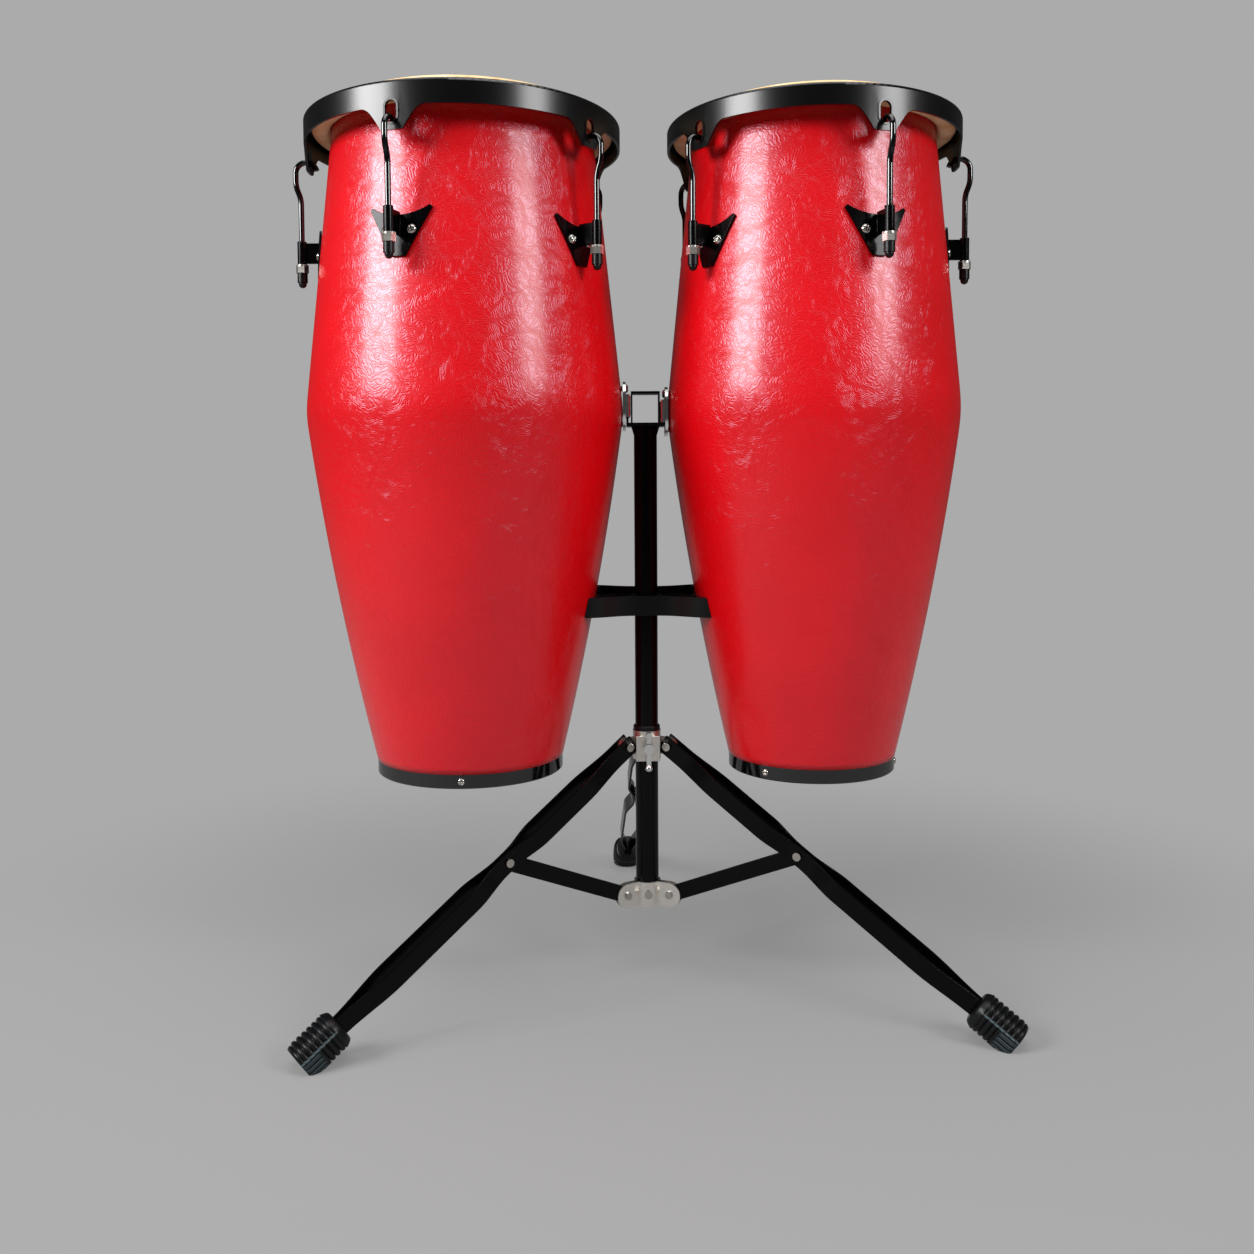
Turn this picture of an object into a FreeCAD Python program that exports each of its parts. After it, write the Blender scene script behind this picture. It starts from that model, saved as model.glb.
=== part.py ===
import FreeCAD, Part
import math
import os
import Sketcher
from types import SimpleNamespace

# A pair of tall barrel-shaped hand drums on a folding tripod stand.
# Millimetres, +Z up, floor at Z = 0.  The player stands on the -Y side.
# Drum pieces are drawn about their own axis with Z = 0 at the bottom ring, then placed.
# Leg pieces are drawn with the leg pointing along +X, then turned about the pole.

DRIVING = {
    # stand
    "pole_x": 7.98, "pole_y": -87.572, "pole_radius": 12.7, "pole_wall": 1.6,
    "pole_bottom": 84.0, "pole_top": 616.0, "leg_turn": 213.0,
    # drums: heights above the bottom ring, shared by both sizes
    "drum_lift": 238.3, "belly_height": 392.0, "shell_wall": 9.0, "belly_curve": 3600.0,
    "skin_thickness": 2.0, "skirt_height": 684.0, "band_height": 15.0, "band_wall": 2.3,
    "flange_width": 14.0, "fit_gap": 0.1,
    # large drum on the left, small drum on the right
    "left_offset": -196.5, "left_head": 139.0, "left_belly": 172.6, "left_foot": 102.2,
    "left_rim": 170.0, "left_blend": 130.0, "left_lug_turn": -107.0, "left_top": 714.0,
    "left_rim_height": 702.8,
    "right_offset": 183.5, "right_head": 129.0, "right_belly": 159.8, "right_foot": 91.2,
    "right_rim": 158.2, "right_blend": 190.0, "right_lug_turn": -73.0, "right_top": 710.0,
    "right_rim_height": 700.0,
    # rim and flesh hoop
    "rim_sheet": 2.5, "rim_low": 678.0, "ear_low": 655.0, "hoop_wire": 8.0, "hoop_height": 691.3,
    # tuning lugs
    "lug_height": 568.0, "lug_standoff": 24.0, "lug_sheet": 2.5, "barrel_length": 25.0,
    "barrel_radius": 5.0, "rod_radius": 3.0, "rod_bottom": 536.0, "nut_height": 8.8,
    "nut_flats": 12.0, "cap_length": 15.8, "cap_radius": 5.5,
    # hanger and receivers
    "receiver_width": 38.0, "receiver_height": 54.0, "receiver_sheet": 3.0, "left_socket": 651.0,
    "right_socket": 645.0, "socket_height": 25.0, "socket_depth": 5.4, "tongue_width": 24.0,
    # rest yoke
    "yoke_bottom": 409.0, "yoke_height": 21.5, "yoke_back": 28.5,
    # tripod linkage
    "collar_bottom": 247.0, "collar_height": 32.0, "collar_radius": 15.6, "pivot_reach": 27.7,
    "pivot_height": 263.0, "hub_bottom": 82.5, "hub_height": 26.5, "hub_reach": 28.3,
    "hub_pivot": 95.7, "brace_reach": 177.0, "brace_height": 160.0, "strap_width": 19.0,
    "strap_sheet": 2.5, "lug_thickness": 8.0, "bow": 11.7,
    "brace_width": 17.0, "brace_sheet": 3.0, "pin_radius": 2.5, "open_pivot_radius": 3.7,
    "foot_radius": 20.0, "foot_start": 404.5, "foot_end": 453.0,
}
TUNING_LUGS = 5
LEG_NAMES = ("left", "right", "rear")


class Size:
    """A length together with the sheet expression that gives it."""

    def __init__(self, text, value):
        self.text = text
        self.value = value

    def join(self, sign, other, value):
        return Size(f"({self.text} {sign} {as_size(other).text})", value)

    def __add__(self, other):
        return self.join("+", other, self.value + as_size(other).value)

    def __sub__(self, other):
        return self.join("-", other, self.value - as_size(other).value)

    def __mul__(self, other):
        return self.join("*", other, self.value * as_size(other).value)

    def __truediv__(self, other):
        return self.join("/", other, self.value / as_size(other).value)

    def __float__(self):
        return float(self.value)


def as_size(number):
    return number if isinstance(number, Size) else Size(repr(float(number)), float(number))


doc = FreeCAD.newDocument("hand_drums")
sheet = doc.addObject("Spreadsheet::Sheet", "Sizes")
for row, (alias, number) in enumerate(DRIVING.items(), start=1):
    sheet.set(f"A{row}", alias)
    sheet.set(f"B{row}", str(number))
    sheet.setAlias(f"B{row}", alias)
doc.recompute()
d = SimpleNamespace(**{alias: Size(f"Sizes.{alias}", float(sheet.get(alias))) for alias in DRIVING})

pieces = []


# ---------------------------------------------------------------- helpers

def bind(obj, **sizes):
    """Bind properties to sheet expressions; an underscore pair stands for a dot."""
    for name, size in sizes.items():
        obj.setExpression(name.replace("__", "."), as_size(size).text)


def place(obj, x=0.0, y=0.0, z=0.0, turn=0.0):
    """Put an object at sheet-bound coordinates, turned about Z."""
    obj.Placement = FreeCAD.Placement(
        FreeCAD.Vector(float(x), float(y), float(z)),
        FreeCAD.Rotation(FreeCAD.Vector(0, 0, 1), float(turn)))
    bind(obj, Placement__Base__x=x, Placement__Base__y=y, Placement__Base__z=z)
    return obj


def piece(obj, label):
    """Name a finished sub-part and keep it for export."""
    obj.Label = label
    pieces.append(obj)
    return obj


def flat_sketch(body, name, plane_role, outline):
    """A closed, fully dimensioned outline of corners; an Arc entry bows the edge after a corner."""
    sketch = body.newObject("Sketcher::SketchObject", name)
    plane = next(item for item in body.Origin.OriginFeatures if item.Role == plane_role)
    sketch.AttachmentSupport = [(plane, "")]
    sketch.MapMode = "FlatFace"
    corners = [entry for entry in outline if isinstance(entry, tuple)]
    arcs = {}
    for entry in outline:
        if isinstance(entry, Arc):
            arcs[entry.after] = entry
    starts = []
    count = len(corners)
    for index in range(count):
        first = FreeCAD.Vector(*[float(value) for value in corners[index]], 0)
        last = FreeCAD.Vector(*[float(value) for value in corners[(index + 1) % count]], 0)
        if index not in arcs:
            edge = sketch.addGeometry(Part.LineSegment(first, last))
            starts.append((edge, 1, 2))
            continue
        edge = sketch.addGeometry(arcs[index].curve(first, last))
        flipped = sketch.Geometry[edge].StartPoint.distanceToPoint(first) > 1e-4
        starts.append((edge, 2, 1) if flipped else (edge, 1, 2))
        rule = sketch.addConstraint(Sketcher.Constraint("Radius", edge, float(arcs[index].radius)))
        sketch.setExpression(f"Constraints[{rule}]", as_size(arcs[index].radius).text)
    for index in range(count):
        edge, _, end = starts[index]
        after, begin, _ = starts[(index + 1) % count]
        sketch.addConstraint(Sketcher.Constraint("Coincident", edge, end, after, begin))
    for index, (x, y) in enumerate(corners):
        edge, begin, _ = starts[index]
        for kind, axis, size in (("DistanceX", -2, as_size(x)), ("DistanceY", -1, as_size(y))):
            if abs(size.value) < 1e-9:
                sketch.addConstraint(Sketcher.Constraint("PointOnObject", edge, begin, axis))
                continue
            rule = sketch.addConstraint(Sketcher.Constraint(kind, -1, 1, edge, begin, size.value))
            sketch.setExpression(f"Constraints[{rule}]", size.text)
    return sketch


class Arc:
    """Bows the edge after a numbered corner; side is +1 to the left of travel, -1 to the right."""

    def __init__(self, after, radius, side):
        self.after = after
        self.radius = radius
        self.side = side

    def curve(self, first, last):
        """The arc, drawn anticlockwise as sketches want it."""
        chord = last - first
        half = chord.Length / 2
        radius = float(self.radius)
        depth = math.sqrt(radius * radius - half * half)
        left = FreeCAD.Vector(-chord.y, chord.x, 0).normalize()
        centre = first + chord / 2 - left * (depth * self.side)
        begin, end = (last, first) if self.side > 0 else (first, last)
        start_angle = math.atan2(begin.y - centre.y, begin.x - centre.x)
        end_angle = math.atan2(end.y - centre.y, end.x - centre.x)
        if end_angle < start_angle:
            end_angle += 2 * math.pi
        return Part.ArcOfCircle(Part.Circle(centre, FreeCAD.Vector(0, 0, 1), radius), start_angle, end_angle)


def turned(name, outline):
    """A body turned about its own Z axis from (radius, height) corners."""
    body = doc.addObject("PartDesign::Body", name)
    sketch = flat_sketch(body, f"{name}_outline", "XZ_Plane", outline)
    spin = body.newObject("PartDesign::Revolution", f"{name}_turn")
    spin.Profile = sketch
    spin.ReferenceAxis = (sketch, ["V_Axis"])
    spin.Angle = 360.0
    return body


def feature(name, shape):
    """A part whose shape comes from Part's own functions."""
    obj = doc.addObject("Part::Feature", name)
    obj.Shape = shape
    return obj


def boolean(kind, name, base, tool):
    obj = doc.addObject(f"Part::{kind}", name)
    obj.Base = base
    obj.Tool = tool
    return obj


def joined(name, members):
    obj = doc.addObject("Part::MultiFuse", name)
    obj.Shapes = members
    obj.Refine = True
    return obj


def cylinder(name, radius, height, z=0.0, x=0.0, y=0.0):
    obj = doc.addObject("Part::Cylinder", name)
    bind(obj, Radius=radius, Height=height)
    return place(obj, x, y, z)


def vec(x, y, z):
    return FreeCAD.Vector(float(x), float(y), float(z))


def rod(start, end, radius):
    """A round bar between two points."""
    axis = end - start
    return Part.makeCylinder(float(radius), axis.Length, start, axis)


def spun(shape, angles):
    """Copies of a shape turned about the Z axis."""
    copies = []
    for angle in angles:
        copy = shape.copy()
        copy.rotate(FreeCAD.Vector(0, 0, 0), FreeCAD.Vector(0, 0, 1), angle)
        copies.append(copy)
    return Part.makeCompound(copies)


def slab(points, thickness_axis, thickness):
    """A flat polygon given thickness along an axis."""
    wire = Part.makePolygon(points + points[:1])
    return Part.Face(wire).extrude(thickness_axis * float(thickness))


def line(first, last):
    return Part.LineSegment(first, last).toShape()


def closed(edges):
    """One closed wire from edges given in any order."""
    return Part.Wire(Part.sortEdges(edges)[0])


def smooth(points):
    """A smooth edge through points."""
    curve = Part.BSplineCurve()
    curve.interpolate(points)
    return curve.toShape()


def lug_angles(first_turn, direction):
    return [float(first_turn) + direction * 360.0 / TUNING_LUGS * index for index in range(TUNING_LUGS)]


# ---------------------------------------------------------------- drums

def make_drum(side, head, belly, foot, rim, blend, offset, top, rim_top, lug_turn, direction, pole_turn,
              socket_top, screw_turn):
    """One drum: every piece is drawn about the drum axis and carried to its place beside the pole."""

    def settle(obj, label):
        piece(obj, f"{side}_{label}")
        return place(obj, d.pole_x + offset, d.pole_y, d.drum_lift)

    cone_slope = (belly - head) / (top - d.belly_height)
    seat = head + cone_slope * (top - d.lug_height)
    barrel_reach = seat + d.lug_standoff
    tilt = math.atan(float(cone_slope))
    normal = FreeCAD.Vector(math.cos(tilt), 0, math.sin(tilt))
    angles = lug_angles(lug_turn, direction)
    belly_face = belly - 1.3
    screw_drop = 5.5
    wing = 13.2

    # shell: straight cone above the belly, gently barrelled below it
    shell = turned(f"{side}_shell_body", [
        (foot - d.band_wall - d.fit_gap, d.band_wall + d.fit_gap),
        (foot - d.band_wall - d.fit_gap, d.band_height),
        (foot + 0.4, d.band_height), Arc(2, d.belly_curve, -1),
        (belly, d.belly_height),
        (head, top - 6),
        (head - 3.5, top),
        (head - d.shell_wall, top - 5),
        (belly - d.shell_wall, d.belly_height), Arc(7, d.belly_curve, 1),
        (foot - d.band_wall - d.shell_wall, d.band_wall + d.fit_gap)])
    doc.recompute()
    soften = shell.newObject("PartDesign::Fillet", f"{side}_belly_blend")
    belly_edge = next(
        f"Edge{number}" for number, edge in enumerate(shell.Shape.Edges, start=1)
        if abs(edge.BoundBox.XMax - float(belly)) < 0.01 and edge.BoundBox.ZLength < 0.01)
    soften.Base = (soften.BaseFeature, [belly_edge])
    bind(soften, Radius=blend)

    # holes for every screw through the wall
    def on_surface(turn_offset, drop):
        """Point on the upper cone and its outward normal, turned from a lug's own angle."""
        height = d.lug_height - drop
        reach = float(head + cone_slope * (top - height))
        spot = vec(reach, 0, height)
        swing = FreeCAD.Rotation(FreeCAD.Vector(0, 0, 1), turn_offset)
        return swing.multVec(spot), swing.multVec(normal)

    wing_turn = math.degrees(wing / float(seat))
    lug_holes = []
    lug_screws = []
    inner_nuts = []
    for turn_offset in (-wing_turn, wing_turn):
        spot, out = on_surface(turn_offset, screw_drop)
        lug_holes.append(rod(spot - out * 20, spot + out * 12, 3.05))
        skin = float(d.lug_sheet) + 0.2
        shank = rod(spot - out * 17.5, spot + out * (skin + 0.5), 3.0)
        dome = Part.makeSphere(7.0, spot + out * (skin - 3.6))
        head_disc = dome.common(rod(spot + out * skin, spot + out * (skin + 6), 5.0))
        lug_screws.append(shank.fuse(head_disc))
        washer = rod(spot - out * 12.4, spot - out * 11.2, 7.0)
        nut = rod(spot - out * 16.4, spot - out * 12.4, 5.2)
        inner_nuts.append(washer.fuse(nut).cut(rod(spot - out * 20, spot, 3.02)))
    socket_middle = socket_top - d.drum_lift - d.socket_height / 2
    plate_face = float(belly_face + 0.5 + d.receiver_sheet)
    receiver_holes = []
    receiver_screws = []
    outward = FreeCAD.Vector(1, 0, 0)
    for rise in (-19.5, 19.5):
        seat_point = vec(plate_face, 0, float(socket_middle) + rise)
        receiver_holes.append(rod(seat_point - outward * 34, seat_point + outward * 10, 3.05))
        if rise > 0:
            shank = rod(seat_point - outward * 20, seat_point + outward * 0.5, 3.0)
            cover = Part.makeSphere(6.5, seat_point - outward * 3.6)
            cover = cover.common(rod(seat_point, seat_point + outward * 6, 5.0))
        else:
            shank = rod(seat_point - outward * 20, seat_point - outward * 0.1, 3.0)
            cover = Part.makeCone(3.0, 5.0, 2.2, seat_point - outward * 2.3, outward)
            receiver_holes.append(Part.makeCone(3.05, 5.25, 2.4, seat_point - outward * 2.4, outward))
        receiver_screws.append(cover.fuse(shank))
        back = seat_point - outward * 15.5
        nut = rod(back - outward * 4, back, 5.2)
        inner_nuts.append(nut.cut(rod(back - outward * 9, back, 3.02)))
    lug_drills = spun(Part.makeCompound(lug_holes), angles)
    receiver_drills = spun(Part.makeCompound(receiver_holes), [pole_turn])
    ring_height = float(d.band_height) / 2
    ring_holes = spun(rod(vec(float(foot) - 14, 0, ring_height), vec(float(foot) + 5, 0, ring_height), 1.8),
                      [screw_turn + 120 * index for index in range(3)])
    drills = feature(f"{side}_drills", Part.makeCompound([lug_drills, receiver_drills, ring_holes]))
    settle(boolean("Cut", f"{side}_shell_cut", shell, drills), "shell")

    # bottom ring and its wood screws
    ring = turned(f"{side}_ring_body", [
        (foot - d.flange_width, 0.0), (foot - 1.2, 0.0), (foot, 1.2), (foot, d.band_height - 0.1),
        (foot - d.band_wall, d.band_height - 0.1), (foot - d.band_wall, d.band_wall),
        (foot - d.flange_width, d.band_wall)])
    ring_drills = feature(f"{side}_ring_drills", ring_holes)
    settle(boolean("Cut", f"{side}_ring_cut", ring, ring_drills), "bottom_ring")
    ring_screw = rod(vec(float(foot) - 10, 0, ring_height), vec(float(foot) + 0.2, 0, ring_height), 1.75)
    ring_dome = Part.makeSphere(5.0, vec(float(foot) - 3.2, 0, ring_height))
    ring_dome = ring_dome.common(rod(vec(foot, 0, ring_height), vec(float(foot) + 3, 0, ring_height), 3.8))
    settle(feature(f"{side}_ring_screw_set", spun(
        ring_screw.fuse(ring_dome), [screw_turn + 120 * index for index in range(3)])), "ring_screws")

    # head: a stretched skin over the bearing edge with a short skirt
    flare = cone_slope * (top - 6 - d.skirt_height)
    inner = head + 0.3
    settle(turned(f"{side}_head_body", [
        (0.0, top + 0.1), (head - 3.3, top + 0.1), (inner, top - 6),
        (inner + flare, d.skirt_height), (inner + flare + d.skin_thickness, d.skirt_height),
        (inner + d.skin_thickness, top - 4.5),
        (head - 1.8, top + 0.1 + d.skin_thickness),
        (0.0, top + 0.1 + d.skin_thickness)]), "head_skin")

    # flesh hoop: a round wire under the rim, outside the skirt
    hoop = piece(doc.addObject("Part::Torus", f"{side}_hoop_wire"), f"{side}_flesh_hoop")
    bind(hoop, Radius1=head + 10.0, Radius2=d.hoop_wire / 2)
    place(hoop, d.pole_x + offset, d.pole_y, d.drum_lift + d.hoop_height)

    # rim: rolled top, band and five ears, each with a slot inside a raised lip
    crown = turned(f"{side}_rim_crown", [
        (head + 4.5, rim_top - d.rim_sheet), (rim - d.rim_sheet, rim_top - d.rim_sheet),
        (rim - d.rim_sheet, d.rim_low), (rim, d.rim_low), (rim, rim_top - 3.5), Arc(4, 3.5, -1),
        (rim - 3.5, rim_top), (head + 4.5, rim_top)])
    apron = turned(f"{side}_rim_apron", [
        (rim - d.rim_sheet, d.ear_low), (rim, d.ear_low), (rim, d.rim_low + 1),
        (rim - d.rim_sheet, d.rim_low + 1)])
    band_low = float(d.rim_low)
    ear_low = float(d.ear_low)

    def ear_point(across, height):
        return FreeCAD.Vector(float(rim) - 12, across, height)

    def ear_side(hand):
        """Flank of an ear: a rounded lower corner, a slanted side and a hollow run-out under the band."""
        flank = Part.BSplineCurve()
        flank.interpolate([
            ear_point(hand * 13.2, ear_low + 3.4), ear_point(hand * 16.2, ear_low + 7.6),
            ear_point(hand * 21.2, ear_low + 14.6), ear_point(hand * 25.8, ear_low + 19.6),
            ear_point(hand * 31.0, band_low - 0.6), ear_point(hand * 36.0, band_low)])
        corner = Part.Arc(ear_point(hand * 8.6, ear_low), ear_point(hand * 12.0, ear_low + 1.1),
                          ear_point(hand * 13.2, ear_low + 3.4))
        return [corner.toShape(), flank.toShape(),
                line(ear_point(hand * 36, band_low), ear_point(hand * 36, band_low + 1))]

    ear_wire = closed([line(ear_point(-8.6, ear_low), ear_point(8.6, ear_low)),
                       line(ear_point(-36, band_low + 1), ear_point(36, band_low + 1)),
                       *ear_side(1), *ear_side(-1)])
    ear_prism = Part.Face(ear_wire).extrude(FreeCAD.Vector(16, 0, 0))
    ear_prisms = feature(f"{side}_ear_prisms", spun(ear_prism, angles))
    ears = boolean("Common", f"{side}_rim_ears", apron, ear_prisms)

    def slot_bar(radius, start, length):
        """A round-ended upright bar pointing outward through an ear."""
        low = FreeCAD.Vector(start, 0, ear_low + 13.0)
        high = FreeCAD.Vector(start, 0, ear_low + 22.0)
        bar = Part.makeBox(length, 2 * radius, high.z - low.z, low - FreeCAD.Vector(0, radius, 0))
        for end in (low, high):
            bar = bar.fuse(Part.makeCylinder(radius, length, end, FreeCAD.Vector(1, 0, 0)))
        return bar.removeSplitter()

    lips = feature(f"{side}_slot_lips", spun(slot_bar(8.0, float(rim) - 1.3, 2.1), angles))
    slots = feature(f"{side}_rim_slots", spun(slot_bar(6.0, float(rim) - 15, 30.0), angles))
    rim_blank = joined(f"{side}_rim_blank", [crown, ears, lips])
    settle(boolean("Cut", f"{side}_rim_cut", rim_blank, slots), "rim")

    # tuning hooks: from behind the ear, through its slot, outward round and down to the lug
    reach = float(barrel_reach)
    inside = float(rim) - 9.5
    outside = reach + 5.5
    arch = (outside - inside) / 2
    arch_base = ear_low
    tip_turn = math.radians(15)
    jog_low = arch_base - 34.0
    jog_high = arch_base - 8.0
    jog_middle = FreeCAD.Vector((outside + reach) / 2, 0, (jog_low + jog_high) / 2)
    run = jog_high - jog_low
    shift = outside - reach
    bend = (run * run + shift * shift) / (4 * shift)
    swing = math.asin(run / 2 / bend) / 2
    upper_mid = FreeCAD.Vector(outside - bend * (1 - math.cos(swing)), 0, jog_high - bend * math.sin(swing))
    lower_mid = FreeCAD.Vector(reach + bend * (1 - math.cos(swing)), 0, jog_low + bend * math.sin(swing))
    hook_tip = vec(inside + arch * (1 - math.cos(tip_turn)), 0, arch_base + arch * math.sin(tip_turn))
    path = Part.Wire([
        Part.Arc(hook_tip, vec(inside + arch, 0, arch_base + arch), vec(outside, 0, arch_base)).toShape(),
        line(vec(outside, 0, arch_base), vec(outside, 0, jog_high)),
        Part.Arc(vec(outside, 0, jog_high), upper_mid, jog_middle).toShape(),
        Part.Arc(jog_middle, lower_mid, vec(reach, 0, jog_low)).toShape(),
        line(vec(reach, 0, jog_low), vec(reach, 0, d.rod_bottom))])
    tip_ring = Part.Wire(Part.makeCircle(float(d.rod_radius), hook_tip,
                                         FreeCAD.Vector(math.sin(tip_turn), 0, math.cos(tip_turn))))
    hook = path.makePipeShell([tip_ring], True, False)
    settle(feature(f"{side}_hook_set", spun(hook, angles)), "tuning_hooks")

    # lugs: a winged plate on the shell, a folded web and a barrel for the rod
    low = float(d.lug_height) - 31.0
    high = float(d.lug_height) + 18.5

    def cone_at(height, lift):
        return float(head + cone_slope * (top - height)) + lift

    strip = Part.Face(Part.makePolygon([
        vec(cone_at(low - 8, 0.2), 0, low - 8), vec(cone_at(low - 8, 2.7), 0, low - 8),
        vec(cone_at(high + 8, 2.7), 0, high + 8), vec(cone_at(high + 8, 0.2), 0, high + 8),
        vec(cone_at(low - 8, 0.2), 0, low - 8)]))
    strip.rotate(FreeCAD.Vector(0, 0, 0), FreeCAD.Vector(0, 0, 1), -20)
    curved = strip.revolve(FreeCAD.Vector(0, 0, 0), FreeCAD.Vector(0, 0, 1), 40)
    near = float(seat) - 30

    def wing_point(across, height):
        return FreeCAD.Vector(near, across, height)

    plate_wire = Part.Wire([
        line(wing_point(7.5, low), wing_point(33, high - 2.5)),
        line(wing_point(33, high - 2.5), wing_point(31, high)),
        Part.Arc(wing_point(31, high), wing_point(0, high - 9), wing_point(-31, high)).toShape(),
        line(wing_point(-31, high), wing_point(-33, high - 2.5)),
        line(wing_point(-33, high - 2.5), wing_point(-7.5, low)),
        line(wing_point(-7.5, low), wing_point(7.5, low))])
    plate = curved.common(Part.Face(plate_wire).extrude(FreeCAD.Vector(60, 0, 0)))
    barrel_low = float(d.lug_height) - 12.0
    length = float(d.barrel_length)
    web = Part.makeBox(float(d.lug_standoff) - 2, 3, length - 3,
                       FreeCAD.Vector(cone_at(barrel_low, 1.2), -1.5, barrel_low + 1.5))
    barrel = Part.makeCylinder(float(d.barrel_radius), length, vec(reach, 0, barrel_low))
    lug = plate.fuse(web).fuse(barrel)
    lug = lug.cut(Part.makeCylinder(3.4, length + 40, vec(reach, 0, barrel_low - 20)))
    lug = lug.cut(Part.makeCompound(lug_holes)).removeSplitter()
    settle(feature(f"{side}_lug_set", spun(lug, angles)), "tuning_lugs")
    settle(feature(f"{side}_screw_set", Part.makeCompound([
        spun(Part.makeCompound(lug_screws), angles),
        spun(Part.makeCompound(receiver_screws), [pole_turn])])), "fixing_screws")
    settle(feature(f"{side}_nut_set", Part.makeCompound([
        spun(Part.makeCompound(inner_nuts[:2]), angles),
        spun(Part.makeCompound(inner_nuts[2:]), [pole_turn])])), "inner_nuts")

    # tuning nuts: one flanged hexagon under each barrel, each in its own node
    nut_top = d.lug_height - 12.1
    for index, angle in enumerate(angles, start=1):
        centre_x = barrel_reach * math.cos(math.radians(angle))
        centre_y = barrel_reach * math.sin(math.radians(angle))
        hexagon = doc.addObject("Part::Prism", f"{side}_nut_hexagon_{index}")
        hexagon.Polygon = 6
        bind(hexagon, Circumradius=d.nut_flats / math.sqrt(3), Height=d.nut_height)
        place(hexagon, 0.0, 0.0, 0.0)
        flange = cylinder(f"{side}_nut_flange_{index}", 6.4, 1.8, d.nut_height - 1.8)
        blank = joined(f"{side}_nut_blank_{index}", [hexagon, flange])
        bore = cylinder(f"{side}_nut_bore_{index}", d.rod_radius + 0.05, d.nut_height + 4, -2.0)
        nut = piece(boolean("Cut", f"{side}_nut_{index}_cut", blank, bore), f"{side}_tuning_nut_{index}")
        place(nut, d.pole_x + offset + centre_x, d.pole_y + centre_y, d.drum_lift + nut_top - d.nut_height)

    # rod end caps: stepped sleeves with a domed tip, pressed on the rod below the nuts
    cap_top = float(nut_top - d.nut_height) - 0.3
    tip_radius = 4.3
    tip_centre = cap_top - float(d.cap_length) + tip_radius
    cap = Part.makeCylinder(float(d.cap_radius), 10.0, vec(reach, 0, cap_top - 10.0))
    cap = cap.fuse(Part.makeCylinder(tip_radius, cap_top - 5.0 - tip_centre, vec(reach, 0, tip_centre)))
    cap = cap.fuse(Part.makeSphere(tip_radius, vec(reach, 0, tip_centre)))
    bore_base = float(d.rod_bottom) - 0.2
    cap = cap.cut(Part.makeCylinder(float(d.rod_radius) + 0.02, cap_top - bore_base + 2,
                                    vec(reach, 0, bore_base)))
    settle(feature(f"{side}_cap_set", spun(cap.removeSplitter(), angles)), "rod_caps")

    # receiver: a flat plate on the belly with a raised socket, open below, that drops on a tongue
    plate_back = float(belly_face) + 0.5
    half = float(d.receiver_width) / 2
    tall = float(d.receiver_height)
    middle = float(socket_middle)
    base = Part.makeBox(float(d.receiver_sheet), 2 * half, tall - 2 * half,
                        FreeCAD.Vector(plate_back, -half, middle - tall / 2 + half))
    for rise in (-1, 1):
        centre = FreeCAD.Vector(plate_back, 0, middle + rise * (tall / 2 - half))
        base = base.fuse(Part.makeCylinder(half, float(d.receiver_sheet), centre, FreeCAD.Vector(1, 0, 0)))
    socket_high = float(d.socket_height)
    bulge = Part.makeBox(float(d.socket_depth), 30, socket_high,
                         FreeCAD.Vector(plate_face, -15, middle - socket_high / 2))
    bulge = bulge.makeFillet(3.0, [
        edge for edge in bulge.Edges if edge.BoundBox.XMin > plate_face + 1])
    pocket = Part.makeBox(float(d.socket_depth) - 1.6, float(d.tongue_width) + 0.8, socket_high - 2,
                          FreeCAD.Vector(plate_face, -float(d.tongue_width) / 2 - 0.4,
                                         middle - socket_high / 2))
    receiver = base.fuse(bulge).cut(pocket).cut(Part.makeCompound(receiver_holes)).removeSplitter()
    settle(feature(f"{side}_receiver_plate", spun(receiver, [pole_turn])), "receiver")


make_drum("left", d.left_head, d.left_belly, d.left_foot, d.left_rim, d.left_blend, d.left_offset,
          d.left_top, d.left_rim_height, d.left_lug_turn, 1, 0.0, d.left_socket, -89.0)
make_drum("right", d.right_head, d.right_belly, d.right_foot, d.right_rim, d.right_blend,
          d.right_offset, d.right_top, d.right_rim_height, d.right_lug_turn, -1, 180.0, d.right_socket,
          -131.0)


# ---------------------------------------------------------------- pole, hanger and yoke

def stand(obj, label, turn=0.0):
    piece(obj, label)
    return place(obj, d.pole_x, d.pole_y, 0.0, turn)


yoke_screw_height = float(d.yoke_bottom + d.yoke_height / 2)
collar_screw_height = float(d.hub_bottom + d.hub_height / 2)
front_turn = float(d.leg_turn) + 60.0


def radial(turn, reach, height):
    angle = math.radians(turn)
    return FreeCAD.Vector(reach * math.cos(angle), reach * math.sin(angle), height)


tube = cylinder("pole_outside", d.pole_radius, d.pole_top - d.pole_bottom, d.pole_bottom)
hollow = cylinder("pole_inside", d.pole_radius - d.pole_wall, d.pole_top - d.pole_bottom + 10,
                  d.pole_bottom - 5)
tube_blank = boolean("Cut", "pole_tube", tube, hollow)
pole_drills = feature("pole_drills", Part.makeCompound([
    rod(radial(90, 9, yoke_screw_height), radial(90, 16, yoke_screw_height), 2.05),
    rod(radial(front_turn, 8, collar_screw_height), radial(front_turn, 16, collar_screw_height), 2.55)]))
stand(boolean("Cut", "pole_cut", tube_blank, pole_drills), "pole")

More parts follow.
